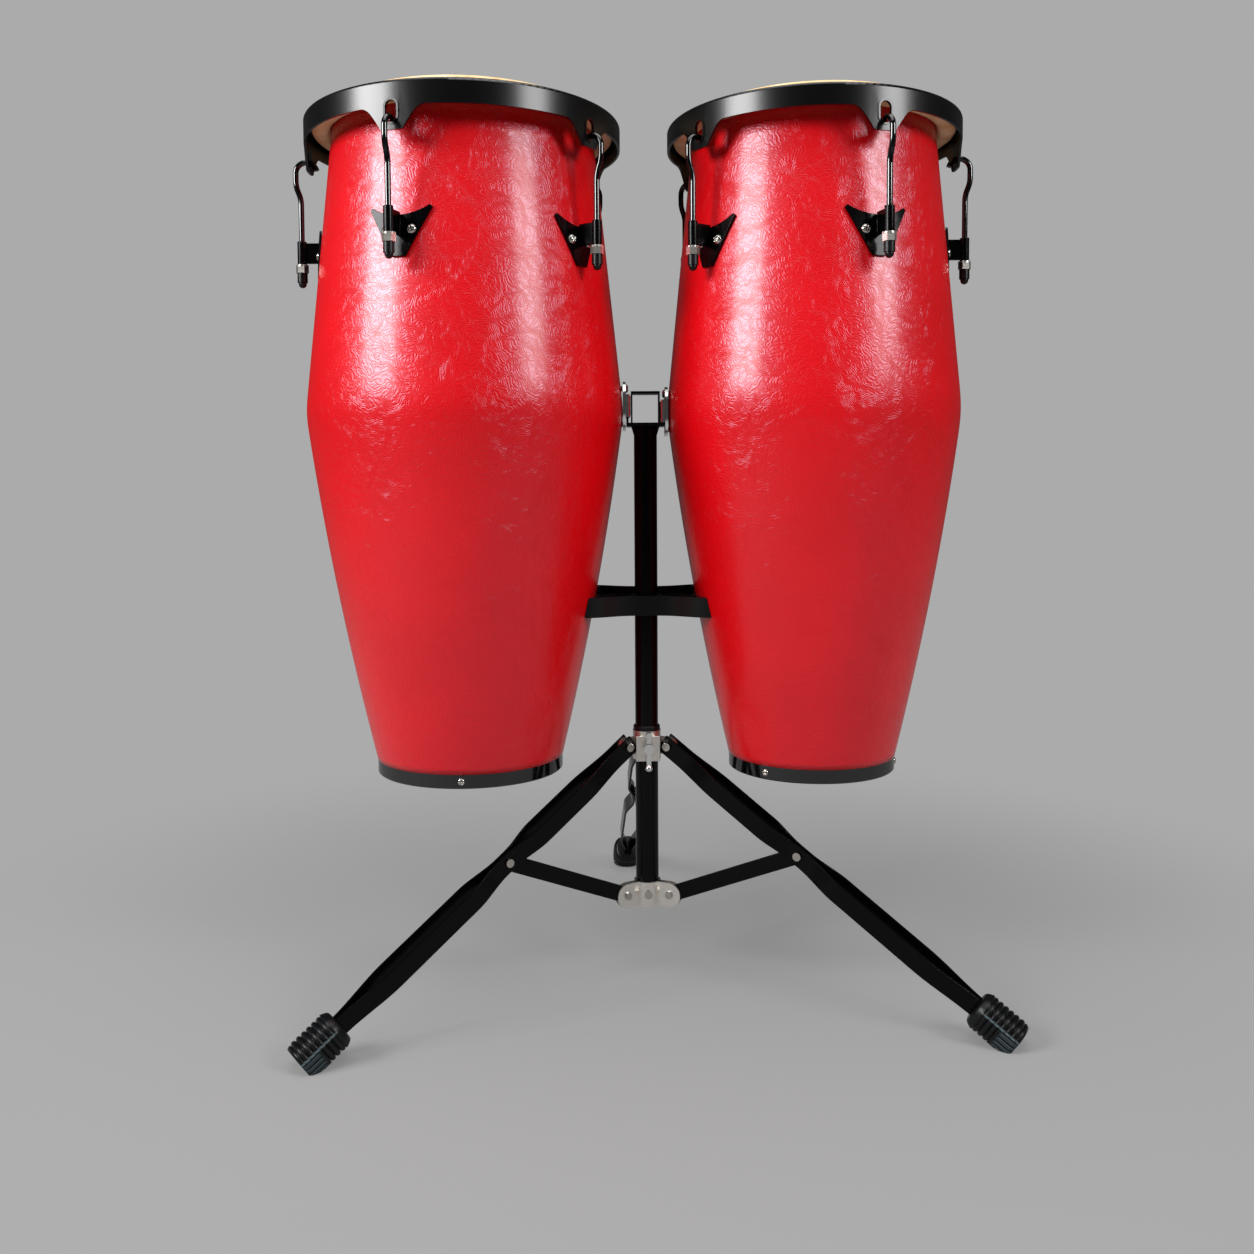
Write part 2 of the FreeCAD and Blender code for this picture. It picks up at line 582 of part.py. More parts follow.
tongue_reach = {"left": float(d.left_offset + d.left_belly - 1.3 + 0.5 + d.receiver_sheet) + 0.8,
                "right": float(d.right_offset - (d.right_belly - 1.3 + 0.5 + d.receiver_sheet)) - 0.8}
tongue_sheet = 2.3
half_tongue = float(d.tongue_width) / 2
plate_low = float(d.pole_top)
plate_high = plate_low + 4.0
frame_top = 654.5
hanger = Part.makeBox(tongue_reach["right"] - tongue_reach["left"], 28, 4,
                      FreeCAD.Vector(tongue_reach["left"], -14, plate_low))
left_tongue_top = float(d.left_socket) - 2.4
right_tongue_top = float(d.right_socket) - 2.4
hanger = hanger.fuse(Part.makeBox(tongue_sheet, 2 * half_tongue, left_tongue_top - plate_high + 1,
                                  FreeCAD.Vector(tongue_reach["left"], -half_tongue, plate_high - 1)))
hanger = hanger.fuse(Part.makeBox(
    tongue_sheet, 2 * half_tongue, right_tongue_top - plate_high + 1,
    FreeCAD.Vector(tongue_reach["right"] - tongue_sheet, -half_tongue, plate_high - 1)))
for side in (-1, 1):
    hanger = hanger.fuse(Part.makeBox(1.6, 20, frame_top - plate_high + 1, FreeCAD.Vector(
        side * 15.0 - 0.8, -10, plate_high - 1)))
    hanger = hanger.fuse(slab([
        FreeCAD.Vector(side * 11.5, -3, plate_low - 9), FreeCAD.Vector(side * 12.8, -3, plate_low - 9),
        FreeCAD.Vector(side * 15.7, -3, plate_low + 0.5), FreeCAD.Vector(side * 11.5, -3, plate_low + 0.5)],
        FreeCAD.Vector(0, 1, 0), 6))
hanger = hanger.fuse(Part.makeBox(31.6, 20, 3.0, FreeCAD.Vector(-15.8, -10, frame_top - 3.0)))
hanger = hanger.fuse(Part.makeCylinder(float(d.pole_radius - d.pole_wall) - 0.1, 26,
                                       FreeCAD.Vector(0, 0, plate_low - 25)))
plug_radius = float(d.pole_radius - d.pole_wall) - 0.1
wall_ring = Part.makeCylinder(float(d.pole_radius) + 0.02, 25, FreeCAD.Vector(0, 0, plate_low - 25))
wall_ring = wall_ring.cut(Part.makeCylinder(plug_radius, 25, FreeCAD.Vector(0, 0, plate_low - 25)))
hanger = hanger.cut(wall_ring)
stand(feature("hanger_frame", hanger.removeSplitter()), "hanger")


def lower_radius(foot, belly, height):
    """Outer radius of the barrelled lower shell at a height above the bottom ring."""
    first = FreeCAD.Vector(float(foot) + 0.4, float(d.band_height), 0)
    last = FreeCAD.Vector(float(belly), float(d.belly_height), 0)
    curve = Arc(0, d.belly_curve, -1).curve(first, last)
    level = Part.LineSegment(FreeCAD.Vector(0, height, 0), FreeCAD.Vector(400, height, 0))
    return curve.toShape().distToShape(level.toShape())[1][0][0].x


yoke_low = float(d.yoke_bottom)
yoke_high = yoke_low + float(d.yoke_height)
yoke_tall = float(d.yoke_back)


def yoke_block(half_width, left, right, base, height):
    """A block whose front and back sweep in to the pole and out to both drums."""
    front = [(left, -46), (left + 20, -39), (-26, -27.5), (0, -24), (26, -27.5), (right - 22, -41),
             (right, -50)]
    shrink = 24.0 - half_width
    rows = []
    for mirror in (1, -1):
        rows.append([FreeCAD.Vector(x, mirror * (y + shrink), base) for x, y in front])
    wire = closed([smooth(rows[0]), smooth(rows[1]), line(rows[0][0], rows[1][0]),
                   line(rows[0][-1], rows[1][-1])])
    return Part.Face(wire).extrude(FreeCAD.Vector(0, 0, height))


yoke = yoke_block(24.0, -66.5, 70.0, yoke_low, yoke_tall)
pocket = yoke_block(21.0, -66.5, 70.0, yoke_low + 4, 40)
for offset, foot, belly in ((d.left_offset, d.left_foot, d.left_belly),
                            (d.right_offset, d.right_foot, d.right_belly)):
    base_radius = lower_radius(foot, belly, yoke_low - float(d.drum_lift))
    top_radius = lower_radius(foot, belly, yoke_low + yoke_tall - float(d.drum_lift))
    yoke = yoke.cut(Part.makeCone(base_radius + 0.6, top_radius + 0.6, yoke_tall, vec(offset, 0, yoke_low)))
    pocket = pocket.cut(Part.makeCone(base_radius + 4.6, top_radius + 4.6, yoke_tall,
                                      vec(offset, 0, yoke_low)))
pocket = pocket.cut(Part.makeCylinder(17.5, 60, FreeCAD.Vector(0, 0, yoke_low - 5)))
for side in (-1, 1):
    for hand in (-1, 1):
        rib = [(12, 21), (12, 18), (66, -33), (66, -30)]
        rib = [FreeCAD.Vector(side * x, hand * y, yoke_low) for x, y in rib]
        pocket = pocket.cut(slab(rib, FreeCAD.Vector(0, 0, 1), 40))
yoke = yoke.cut(pocket)
yoke = yoke.cut(Part.makeBox(200, 118, 20, FreeCAD.Vector(-100, -100, yoke_high)))
yoke = yoke.cut(Part.makeCylinder(float(d.pole_radius) + 0.05, 60, FreeCAD.Vector(0, 0, yoke_low - 5)))
yoke = yoke.cut(rod(radial(90, 9, yoke_screw_height), radial(90, 40, yoke_screw_height), 2.05))
stand(feature("yoke_moulding", yoke.removeSplitter()), "rest_yoke")
set_screw = rod(radial(90, 10.6, yoke_screw_height), radial(90, 24.4, yoke_screw_height), 2.0)
set_screw = set_screw.fuse(
    rod(radial(90, 24.2, yoke_screw_height), radial(90, 26.6, yoke_screw_height), 3.8))
stand(feature("yoke_set_screw", set_screw), "yoke_screw")


# ---------------------------------------------------------------- collars

leg_turns = [float(d.leg_turn) + 120.0 * index for index in range(3)]
reach = float(d.pivot_reach)
pivot_z = float(d.pivot_height)
lug_half = float(d.lug_thickness) / 2
collar_low = float(d.collar_bottom)
collar_high = float(d.collar_height)
running = float(d.pole_radius) + 0.08
collar = Part.makeCylinder(float(d.collar_radius), collar_high, FreeCAD.Vector(0, 0, collar_low))
ear = Part.makeBox(reach - 10, 2 * lug_half, 18, FreeCAD.Vector(10, -lug_half, pivot_z - 9))
ear = ear.fuse(Part.makeCylinder(9, 2 * lug_half, FreeCAD.Vector(reach, -lug_half, pivot_z),
                                 FreeCAD.Vector(0, 1, 0)))
ear = ear.cut(Part.makeCylinder(3.02, 40, FreeCAD.Vector(reach, -20, pivot_z), FreeCAD.Vector(0, 1, 0)))
collar = collar.fuse(spun(ear, leg_turns))
clamp = Part.makeBox(2.2, 26.5, 28, FreeCAD.Vector(18.3, -13.25, collar_low))
clamp = clamp.makeFillet(0.8, [edge for edge in clamp.Edges if edge.BoundBox.XMin > 20])
clamp = clamp.fuse(Part.makeBox(9, 16, 28, FreeCAD.Vector(10, -8, collar_low)))
collar = collar.fuse(spun(clamp, [front_turn]))
collar = collar.cut(Part.makeCylinder(running, 60, FreeCAD.Vector(0, 0, collar_low - 10)))
collar = collar.cut(rod(radial(front_turn, 5, pivot_z), radial(front_turn, 30, pivot_z), 3.05))
stand(feature("collar_casting", collar.removeSplitter()), "fold_collar")
stand(turned("collar_bush_body", [
    (d.pole_radius + 0.1, d.collar_bottom + d.collar_height + 0.05),
    (d.pole_radius + 2.2, d.collar_bottom + d.collar_height + 0.05),
    (d.pole_radius + 2.2, d.collar_bottom + d.collar_height + 4),
    (d.pole_radius + 1.2, d.collar_bottom + d.collar_height + 5.5),
    (d.pole_radius + 0.1, d.collar_bottom + d.collar_height + 5.5)]), "collar_bush")

# clamp bolt with a flat two-armed handle, drawn along +X and turned to the front
bolt = rod(vec(13.0, 0, pivot_z), vec(30, 0, pivot_z), 3.0)
bolt = bolt.fuse(rod(vec(24, 0, pivot_z), vec(33, 0, pivot_z), 5.5))
arm = Part.makeBox(3.2, 5, 34, FreeCAD.Vector(28, -2.5, pivot_z - 19))
bolt = bolt.fuse(arm).fuse(Part.makeSphere(3.9, FreeCAD.Vector(29.6, 0, pivot_z - 21.5)))
bolt = bolt.fuse(rod(vec(27.2, 0, pivot_z + 14.5), vec(32.0, 0, pivot_z + 14.5), 3.4))
stand(feature("clamp_bolt_handle", spun(bolt.removeSplitter(), [front_turn])), "clamp_bolt")

# leg pivot screws through the collar ears
pin_half = lug_half + 0.4 + float(d.strap_sheet)
pivot = Part.makeCylinder(3.0, 2 * pin_half + 0.8, FreeCAD.Vector(reach, -pin_half - 0.4, pivot_z),
                          FreeCAD.Vector(0, 1, 0))
for side in (-1, 1):
    start = FreeCAD.Vector(reach, side * (pin_half + 0.3), pivot_z)
    pivot = pivot.fuse(Part.makeCylinder(4.6, 2.2, start, FreeCAD.Vector(0, side, 0)))
stand(feature("leg_pivot_set", spun(pivot, leg_turns)), "leg_pivot_screws")

# hub: three stamped segments that wrap the pole and hold the braces between their ends
hub_low = float(d.hub_bottom)
hub_high = float(d.hub_height)
hub_reach = float(d.hub_reach)
hub_z = float(d.hub_pivot)
brace_half = float(d.brace_sheet) / 2
cheek = 1.9
gap_half = brace_half + 0.4
sleeve = Part.makeCylinder(float(d.pole_radius) + 2.1, hub_high, FreeCAD.Vector(0, 0, hub_low))
blade = Part.makeBox(hub_reach - 8, 2 * (gap_half + cheek), hub_high,
                     FreeCAD.Vector(8, -gap_half - cheek, hub_low))
blade = blade.fuse(Part.makeCylinder(hub_high / 2, 2 * (gap_half + cheek),
                                     FreeCAD.Vector(hub_reach, -gap_half - cheek, hub_low + hub_high / 2),
                                     FreeCAD.Vector(0, 1, 0)))
opening = Part.makeBox(60, 2 * gap_half, 60, FreeCAD.Vector(8, -gap_half, hub_low - 10))
pin_hole = Part.makeCylinder(2.52, 40, FreeCAD.Vector(hub_reach, -20, hub_z), FreeCAD.Vector(0, 1, 0))
hub = sleeve.fuse(spun(blade, leg_turns)).cut(spun(opening.fuse(pin_hole), leg_turns))
hub = hub.cut(Part.makeCylinder(float(d.pole_radius) + 0.05, 60, FreeCAD.Vector(0, 0, hub_low - 10)))
hub = hub.cut(rod(radial(front_turn, 5, collar_screw_height), radial(front_turn, 30, collar_screw_height),
                  2.55))
stand(feature("hub_segment_set", hub), "hub_segments")
hub_pin = Part.makeCylinder(2.5, 2 * (gap_half + cheek) + 0.6,
                            FreeCAD.Vector(hub_reach, -gap_half - cheek - 0.3, hub_z),
                            FreeCAD.Vector(0, 1, 0))
for side in (-1, 1):
    start = FreeCAD.Vector(hub_reach, side * (gap_half + cheek + 0.05), hub_z)
    hub_pin = hub_pin.fuse(Part.makeCylinder(4.2, 1.8, start, FreeCAD.Vector(0, side, 0)))
stand(feature("hub_rivet_set", spun(hub_pin, leg_turns)), "hub_rivets")
face = float(d.pole_radius) + 2.1
hub_screw = rod(radial(front_turn, 9, collar_screw_height),
                radial(front_turn, face + 0.8, collar_screw_height), 2.5)
hub_screw = hub_screw.fuse(rod(radial(front_turn, face + 0.1, collar_screw_height),
                               radial(front_turn, face + 2.4, collar_screw_height), 4.5))
stand(feature("hub_fixing_screw", hub_screw), "hub_screw")


# ---------------------------------------------------------------- legs and braces

pinch = vec(d.brace_reach, 0, d.brace_height)
top_pivot = FreeCAD.Vector(reach, 0, pivot_z)
leg_axis = (pinch - top_pivot).normalize()
leg_up = FreeCAD.Vector(-leg_axis.z, 0, leg_axis.x)
first_span = (pinch - top_pivot).Length
strap_half = float(d.strap_sheet) / 2
at_pivot = lug_half + 0.4 + strap_half
at_pinch = brace_half + 0.4 + strap_half
at_foot = 1.6 + strap_half
strap_set = float(d.foot_start) + 2.0
strap_end = float(d.foot_start) + 34.0


def ease(share):
    """A smooth step from 0 to 1, flat at both ends."""
    share = min(1.0, max(0.0, share))
    return share * share * (3 - 2 * share)


def strap_offset(station):
    """Sideways offset of a strap's middle plane: held at three pinches, evenly bowed between them."""
    spans = ((0.0, first_span, at_pivot, at_pinch, 0.10, 0.40, 0.75, 0.97),
             (first_span, strap_set, at_pinch, at_foot, 0.04, 0.24, 0.70, 1.0))
    for begin, end, low_offset, high_offset, parting, full, closing, held in spans:
        if station <= end:
            share = (station - begin) / (end - begin)
            straight = low_offset + (high_offset - low_offset) * share
            bowed = ease((share - parting) / (full - parting)) * ease((held - share) / (held - closing))
            return straight + (float(d.bow) - straight) * bowed
    return at_foot


def strap(side):
    """One flat strap, bowed in plan, standing on edge along the leg."""
    samples = 18
    stops = [0.0] + [first_span * step / samples for step in range(1, samples + 1)]
    stops += [first_span + (strap_set - first_span) * step / samples for step in range(1, samples + 1)]
    edges = []
    for face_side in (-1, 1):
        rows = [top_pivot + leg_axis * stop + FreeCAD.Vector(
            0, side * (strap_offset(stop) + face_side * strap_half), 0) for stop in stops]
        head_row = rows[0] - leg_axis * 7.5
        tail_row = rows[-1] + leg_axis * (strap_end - strap_set)
        curve = Part.BSplineCurve()
        curve.interpolate(Points=rows, InitialTangent=leg_axis, FinalTangent=leg_axis)
        edges.append([head_row, rows[0], curve.toShape(), rows[-1], tail_row])
    near_side, far_side = edges
    wire = closed([
        line(near_side[0], near_side[1]), near_side[2], line(near_side[3], near_side[4]),
        line(near_side[4], far_side[4]), line(far_side[4], far_side[3]), far_side[2],
        line(far_side[1], far_side[0]), line(far_side[0], near_side[0])])
    width = float(d.strap_width)
    blank = Part.Face(wire)
    blank.translate(leg_up * (-width / 2))
    return blank.extrude(leg_up * width)


def across(point, radius, half_length):
    """A cylinder across the leg plane, centred on a point."""
    return Part.makeCylinder(radius, 2 * half_length, point - FreeCAD.Vector(0, half_length, 0),
                             FreeCAD.Vector(0, 1, 0))


floor_block = Part.makeBox(900, 300, 200, FreeCAD.Vector(-100, -150, -200))
foot_low = float(d.foot_start)
foot_high = float(d.foot_end)
profile = []
rib_pitch = 7.2
core = float(d.foot_radius) - 1.8
profile.append(FreeCAD.Vector(0, 0, 0))
profile.append(FreeCAD.Vector(12.6, 0, 0))
for rib in range(5):
    start = 2.0 + rib * rib_pitch
    tip = min(float(d.foot_radius), 15.0 + 2.2 * rib)
    profile += [FreeCAD.Vector(tip - 1.8, 0, start), FreeCAD.Vector(tip, 0, start + 1.6),
                FreeCAD.Vector(tip, 0, start + 4.2), FreeCAD.Vector(tip - 1.8, 0, start + 5.8)]
boot_length = foot_high - foot_low
profile += [FreeCAD.Vector(core + 1.0, 0, 38.5), FreeCAD.Vector(core + 1.0, 0, boot_length - 4),
            FreeCAD.Vector(core - 3, 0, boot_length), FreeCAD.Vector(0, 0, boot_length)]
boot_face = Part.Face(Part.makePolygon(profile + profile[:1]))
boot = boot_face.revolve(FreeCAD.Vector(0, 0, 0), FreeCAD.Vector(0, 0, 1), 360)
boot = Part.Solid(boot) if boot.ShapeType == "Shell" else boot
boot.Placement = FreeCAD.Placement(top_pivot + leg_axis * foot_low,
                                   FreeCAD.Rotation(FreeCAD.Vector(0, 0, 1), leg_axis))
socket = Part.makeBox(34.4, 2 * (at_foot + strap_half) + 0.4, float(d.strap_width) + 0.4)
socket.Placement = FreeCAD.Placement(
    top_pivot + leg_axis * (foot_low - 0.2) - FreeCAD.Vector(0, at_foot + strap_half + 0.2, 0)
    - leg_up * (float(d.strap_width) / 2 + 0.2),
    FreeCAD.Rotation(leg_axis, FreeCAD.Vector(0, 1, 0), leg_up, "XZY"))
boot = boot.cut(socket).cut(floor_block).removeSplitter()

straps = []
for side in (-1, 1):
    bar = strap(side).cut(across(top_pivot, 3.06, 40)).cut(across(pinch, 2.51, 40))
    straps.append(bar)
bar_set = Part.makeCompound(straps)
pinch_half = at_pinch + strap_half
pinch_screw = across(pinch, float(d.pin_radius), pinch_half + 0.6)
for side in (-1, 1):
    start = pinch + FreeCAD.Vector(0, side * (pinch_half + 0.2), 0)
    pinch_screw = pinch_screw.fuse(Part.makeCylinder(4.4, 2.4, start, FreeCAD.Vector(0, side, 0)))

hub_point = FreeCAD.Vector(hub_reach, 0, hub_z)
brace_axis = (pinch - hub_point).normalize()
brace_up = FreeCAD.Vector(-brace_axis.z, 0, brace_axis.x)
half_width = float(d.brace_width) / 2
corners = [hub_point - brace_up * half_width, pinch - brace_up * half_width,
           pinch + brace_up * half_width, hub_point + brace_up * half_width]
brace = slab([corner - FreeCAD.Vector(0, brace_half, 0) for corner in corners],
             FreeCAD.Vector(0, 1, 0), d.brace_sheet)
for point in (hub_point, pinch):
    brace = brace.fuse(across(point, half_width, brace_half))
brace = brace.cut(across(hub_point, 2.56, 10)).cut(across(pinch, float(d.open_pivot_radius), 10))
brace = brace.removeSplitter()

for name, turn in zip(LEG_NAMES, leg_turns):
    stand(feature(f"{name}_strap_pair", bar_set), f"{name}_leg_straps", turn)
    stand(feature(f"{name}_boot", boot), f"{name}_foot", turn)
    stand(feature(f"{name}_pinch_pin", pinch_screw), f"{name}_brace_screw", turn)
    stand(feature(f"{name}_brace_bar", brace), f"{name}_brace", turn)


# ---------------------------------------------------------------- checks and export

doc.recompute()
for obj in doc.Objects:
    if "Invalid" in obj.State or "Error" in obj.State:
        raise RuntimeError(f"{obj.Label} did not build: {obj.State}")
for obj in pieces:
    if obj.Shape.isNull() or not obj.Shape.isValid():
        raise RuntimeError(f"{obj.Label} has no valid shape")
if len({obj.Label for obj in pieces}) != len(pieces):
    raise RuntimeError("two sub-parts share a label")

os.makedirs("parts", exist_ok=True)
for obj in pieces:
    obj.Shape.exportStep(f"parts/{obj.Label}.step")
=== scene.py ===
import math
import bmesh
import bpy
from mathutils import Matrix, Vector


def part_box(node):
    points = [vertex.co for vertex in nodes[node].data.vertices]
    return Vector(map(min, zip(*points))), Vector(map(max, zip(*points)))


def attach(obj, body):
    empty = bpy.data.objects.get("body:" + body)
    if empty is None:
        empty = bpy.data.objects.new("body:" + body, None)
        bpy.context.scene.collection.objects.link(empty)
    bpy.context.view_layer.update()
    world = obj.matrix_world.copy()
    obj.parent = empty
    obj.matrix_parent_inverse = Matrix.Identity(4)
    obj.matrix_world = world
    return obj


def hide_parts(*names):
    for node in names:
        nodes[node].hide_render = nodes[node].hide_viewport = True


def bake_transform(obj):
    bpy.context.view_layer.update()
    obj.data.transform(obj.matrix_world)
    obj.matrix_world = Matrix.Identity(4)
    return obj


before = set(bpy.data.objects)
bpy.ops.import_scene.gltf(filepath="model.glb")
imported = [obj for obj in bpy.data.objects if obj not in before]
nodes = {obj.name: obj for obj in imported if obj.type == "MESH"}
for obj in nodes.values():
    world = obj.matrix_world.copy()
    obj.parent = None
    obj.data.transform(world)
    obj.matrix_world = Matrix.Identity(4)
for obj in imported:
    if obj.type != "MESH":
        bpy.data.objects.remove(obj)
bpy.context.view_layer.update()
SIDES = ("left", "right")
MM = 0.001


# ---------------------------------------------------------------- small helpers

def linear(code, alpha=1.0):
    """An sRGB hex colour as the linear RGBA that shaders take."""
    channels = [int(code[i:i + 2], 16) / 255 for i in (1, 3, 5)]
    curve = [c / 12.92 if c <= 0.04045 else ((c + 0.055) / 1.055) ** 2.4 for c in channels]
    return (*curve, alpha)


def add(tree, kind, settings=None, **links):
    """One node with its settings and its inputs; an input takes a socket or a plain value.

    A colour ramp's stops, as (position, hex colour), are given among its settings.
    """
    made = tree.nodes.new(kind)
    settings = dict(settings or {})
    stops = settings.pop("stops", ())
    for name, value in settings.items():
        setattr(made, name, value)
    for name, value in links.items():
        key = int(name[2:]) if name.startswith("in") else name.replace("_", " ")
        socket = made.inputs[key]
        if isinstance(value, bpy.types.NodeSocket):
            tree.links.new(value, socket)
        else:
            socket.default_value = value
    if stops:
        while len(made.color_ramp.elements) < len(stops):
            made.color_ramp.elements.new(0.5)
        for element, (position, code) in zip(made.color_ramp.elements, stops):
            element.position = position
            element.color = linear(code)
    return made


def surface(name, **settings):
    """A new material: its tree, its principled shader and its object coordinates."""
    material = bpy.data.materials.new(name)
    material.use_nodes = True
    tree = material.node_tree
    shader = tree.nodes["Principled BSDF"]
    for key, value in settings.items():
        shader.inputs[key.replace("_", " ")].default_value = value
    place = add(tree, "ShaderNodeTexCoord").outputs["Object"]
    return material, tree, shader, place


def grain(tree, place, size_mm, detail=4.0, stretch=(1, 1, 1), rough=0.5):
    """Noise whose blobs are about size_mm across."""
    scaled = add(tree, "ShaderNodeMapping", Vector=place, Scale=stretch).outputs[0]
    made = add(tree, "ShaderNodeTexNoise", Vector=scaled, Scale=1 / (size_mm * MM), Detail=detail,
               Roughness=rough)
    return made.outputs["Fac"]


def relief(tree, shader, height, depth_mm, strength=1.0, edge_mm=0.0):
    """Bump of a real depth from a 0-1 height, over edges that may be softened by a small radius."""
    bump = add(tree, "ShaderNodeBump", Height=height, Distance=depth_mm * MM, Strength=strength)
    if edge_mm:
        soft = add(tree, "ShaderNodeBevel", {"samples": 4}, Radius=edge_mm * MM)
        tree.links.new(soft.outputs[0], bump.inputs["Normal"])
    tree.links.new(bump.outputs[0], shader.inputs["Normal"])


def uneven(tree, shader, pattern, low, high):
    """Roughness that drifts between two values with a 0-1 pattern."""
    level = add(tree, "ShaderNodeMapRange", Value=pattern, To_Min=low, To_Max=high).outputs[0]
    tree.links.new(level, shader.inputs["Roughness"])


def dress(material, *names):
    """Gives CAD nodes a material in every slot."""
    for name in names:
        for held in nodes[name].material_slots:
            held.material = material


# ---------------------------------------------------------------- camera, floor and light

BACKDROP_GREY = "#ABABAB"
pole_low, pole_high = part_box("pole")
pole = (pole_low + pole_high) / 2
pole.z = 0


def set_camera():
    """Waist-high view from the player's side, looking slightly down."""
    camera = bpy.data.objects.new("camera", bpy.data.cameras.new("camera"))
    camera.data.sensor_width = 36.0
    camera.data.lens = 34.19
    camera.data.shift_x = 0.0091
    camera.data.shift_y = -0.0668
    camera.data.clip_end = 60
    camera.location = pole + Vector((-0.0336, -1.3209, 0.5529))
    tilt = Matrix.Rotation(math.radians(90 - 2.84), 4, "X")
    roll = Matrix.Rotation(math.radians(-0.336), 4, "Z")
    camera.rotation_euler = (tilt @ roll).to_euler()
    bpy.context.scene.collection.objects.link(camera)
    bpy.context.scene.camera = camera


def studio_floor():
    """A plain grey floor that takes soft contact shadows and runs out into an even backdrop."""
    near, far_off = 0.4, 1.1
    material, tree, shader, place = surface("painted_studio_floor", Roughness=0.9, Specular_IOR_Level=0.1)
    shader.inputs["Base Color"].default_value = linear("#909090")
    away = add(tree, "ShaderNodeVectorMath", {"operation": "LENGTH"}, in0=place).outputs["Value"]
    far = add(tree, "ShaderNodeMapRange", {"interpolation_type": "SMOOTHSTEP"}, Value=away,
              From_Min=near, From_Max=far_off, To_Min=0.4, To_Max=1.0).outputs[0]
    plain = add(tree, "ShaderNodeEmission", Color=linear(BACKDROP_GREY)).outputs[0]
    seen = add(tree, "ShaderNodeLightPath").outputs["Is Camera Ray"]
    share = add(tree, "ShaderNodeMath", {"operation": "MULTIPLY"}, in0=far, in1=seen).outputs[0]
    mixed = add(tree, "ShaderNodeMixShader", in0=share, in1=shader.outputs[0], in2=plain)
    tree.links.new(mixed.outputs[0], tree.nodes["Material Output"].inputs[0])
    mesh = bpy.data.meshes.new("floor")
    reach = 30.0
    mesh.from_pydata([(-reach, -reach, 0), (reach, -reach, 0), (reach, reach, 0), (-reach, reach, 0)],
                     [], [(0, 1, 2, 3)])
    mesh.materials.append(material)
    floor = bpy.data.objects.new("floor", mesh)
    bpy.context.scene.collection.objects.link(floor)


def softbox(name, place, target, width, height, watts):
    """A rectangular lamp aimed at a point, with its place and sizes in metres."""
    lamp = bpy.data.lights.new(name, "AREA")
    lamp.shape = "RECTANGLE"
    lamp.size = width
    lamp.size_y = height
    lamp.energy = watts
    holder = bpy.data.objects.new(name, lamp)
    holder.location = place
    holder.rotation_euler = (Vector(target) - Vector(place)).to_track_quat("-Z", "Y").to_euler()
    bpy.context.scene.collection.objects.link(holder)


def studio_light():
    """A lamp on each side for the upright gloss on the shells, a wide soft top and a dim grey room."""
    softbox("left_lamp", (-1.98, -1.22, 1.6), (-0.1, -0.1, 0.8), 1.05, 0.8, 68)
    softbox("right_lamp", (1.9, -1.5, 1.72), (0.1, -0.1, 0.8), 0.85, 0.8, 38)
    softbox("top_softbox", (0, -0.5, 3.0), (0, 0, 0), 2.4, 2.4, 52)
    world = bpy.data.worlds.new("grey_room")
    world.use_nodes = True
    tree = world.node_tree
    room = tree.nodes["Background"]
    room.inputs[0].default_value = (1, 1, 1, 1)
    path = add(tree, "ShaderNodeLightPath").outputs
    fill, reflected = 0.24, 0.04
    level = add(tree, "ShaderNodeMapRange", Value=path["Is Glossy Ray"], To_Min=fill,
                To_Max=reflected).outputs[0]
    tree.links.new(level, room.inputs[1])
    paper = add(tree, "ShaderNodeBackground", Color=linear(BACKDROP_GREY), Strength=1.0).outputs[0]
    mixed = add(tree, "ShaderNodeMixShader", in0=path["Is Camera Ray"], in1=room.outputs[0], in2=paper)
    tree.links.new(mixed.outputs[0], tree.nodes["World Output"].inputs[0])
    bpy.context.scene.world = world
    bpy.context.scene.view_settings.view_transform = "Standard"


set_camera()
studio_floor()
studio_light()


# ---------------------------------------------------------------- materials

def lacquered_shell():
    # wood drum shell under thick red lacquer: deep colour, and a gloss broken by fine wandering wrinkles
    material, tree, shader, place = surface("wrinkle_lacquer_red", Roughness=0.33, Coat_Weight=0.35,
                                            Coat_Roughness=0.2, Specular_IOR_Level=0.52,
                                            Specular_Tint=linear("#C8E4FF"))
    tone = add(tree, "ShaderNodeValToRGB", {"stops": [(0.3, "#C80007"), (0.7, "#D3000A")]},
               in0=grain(tree, place, 90, 3)).outputs[0]
    tree.links.new(tone, shader.inputs["Base Color"])
    drift = add(tree, "ShaderNodeTexNoise", Vector=place, Scale=38.0, Detail=2.0).outputs["Color"]
    bend = add(tree, "ShaderNodeVectorMath", {"operation": "SCALE"}, in0=drift, Scale=0.045).outputs[0]
    wander = add(tree, "ShaderNodeVectorMath", {"operation": "ADD"}, in0=place, in1=bend).outputs[0]
    lines = add(tree, "ShaderNodeTexWave", {"wave_type": "BANDS", "bands_direction": "DIAGONAL"},
                Vector=wander, Scale=135.0, Distortion=6.0, Detail=2.0).outputs["Fac"]
    pits = grain(tree, place, 2.4, 3)
    height = add(tree, "ShaderNodeMath", {"operation": "MULTIPLY_ADD"}, in0=pits, in1=0.7,
                 in2=lines).outputs[0]
    relief(tree, shader, height, 0.15)
    return material


def bare_wood():
    # unfinished inside of the staves: pale plain wood, long upright grain, quite matt
    material, tree, shader, place = surface("sawn_stave_wood", Roughness=0.75, Specular_IOR_Level=0.3)
    figure = grain(tree, place, 5, 5, (1, 1, 0.06))
    tone = add(tree, "ShaderNodeValToRGB", {"stops": [(0.3, "#A57A4C"), (0.7, "#CFA877")]},
               in0=figure).outputs[0]
    tree.links.new(tone, shader.inputs["Base Color"])
    relief(tree, shader, figure, 0.15, 0.5)
    return material


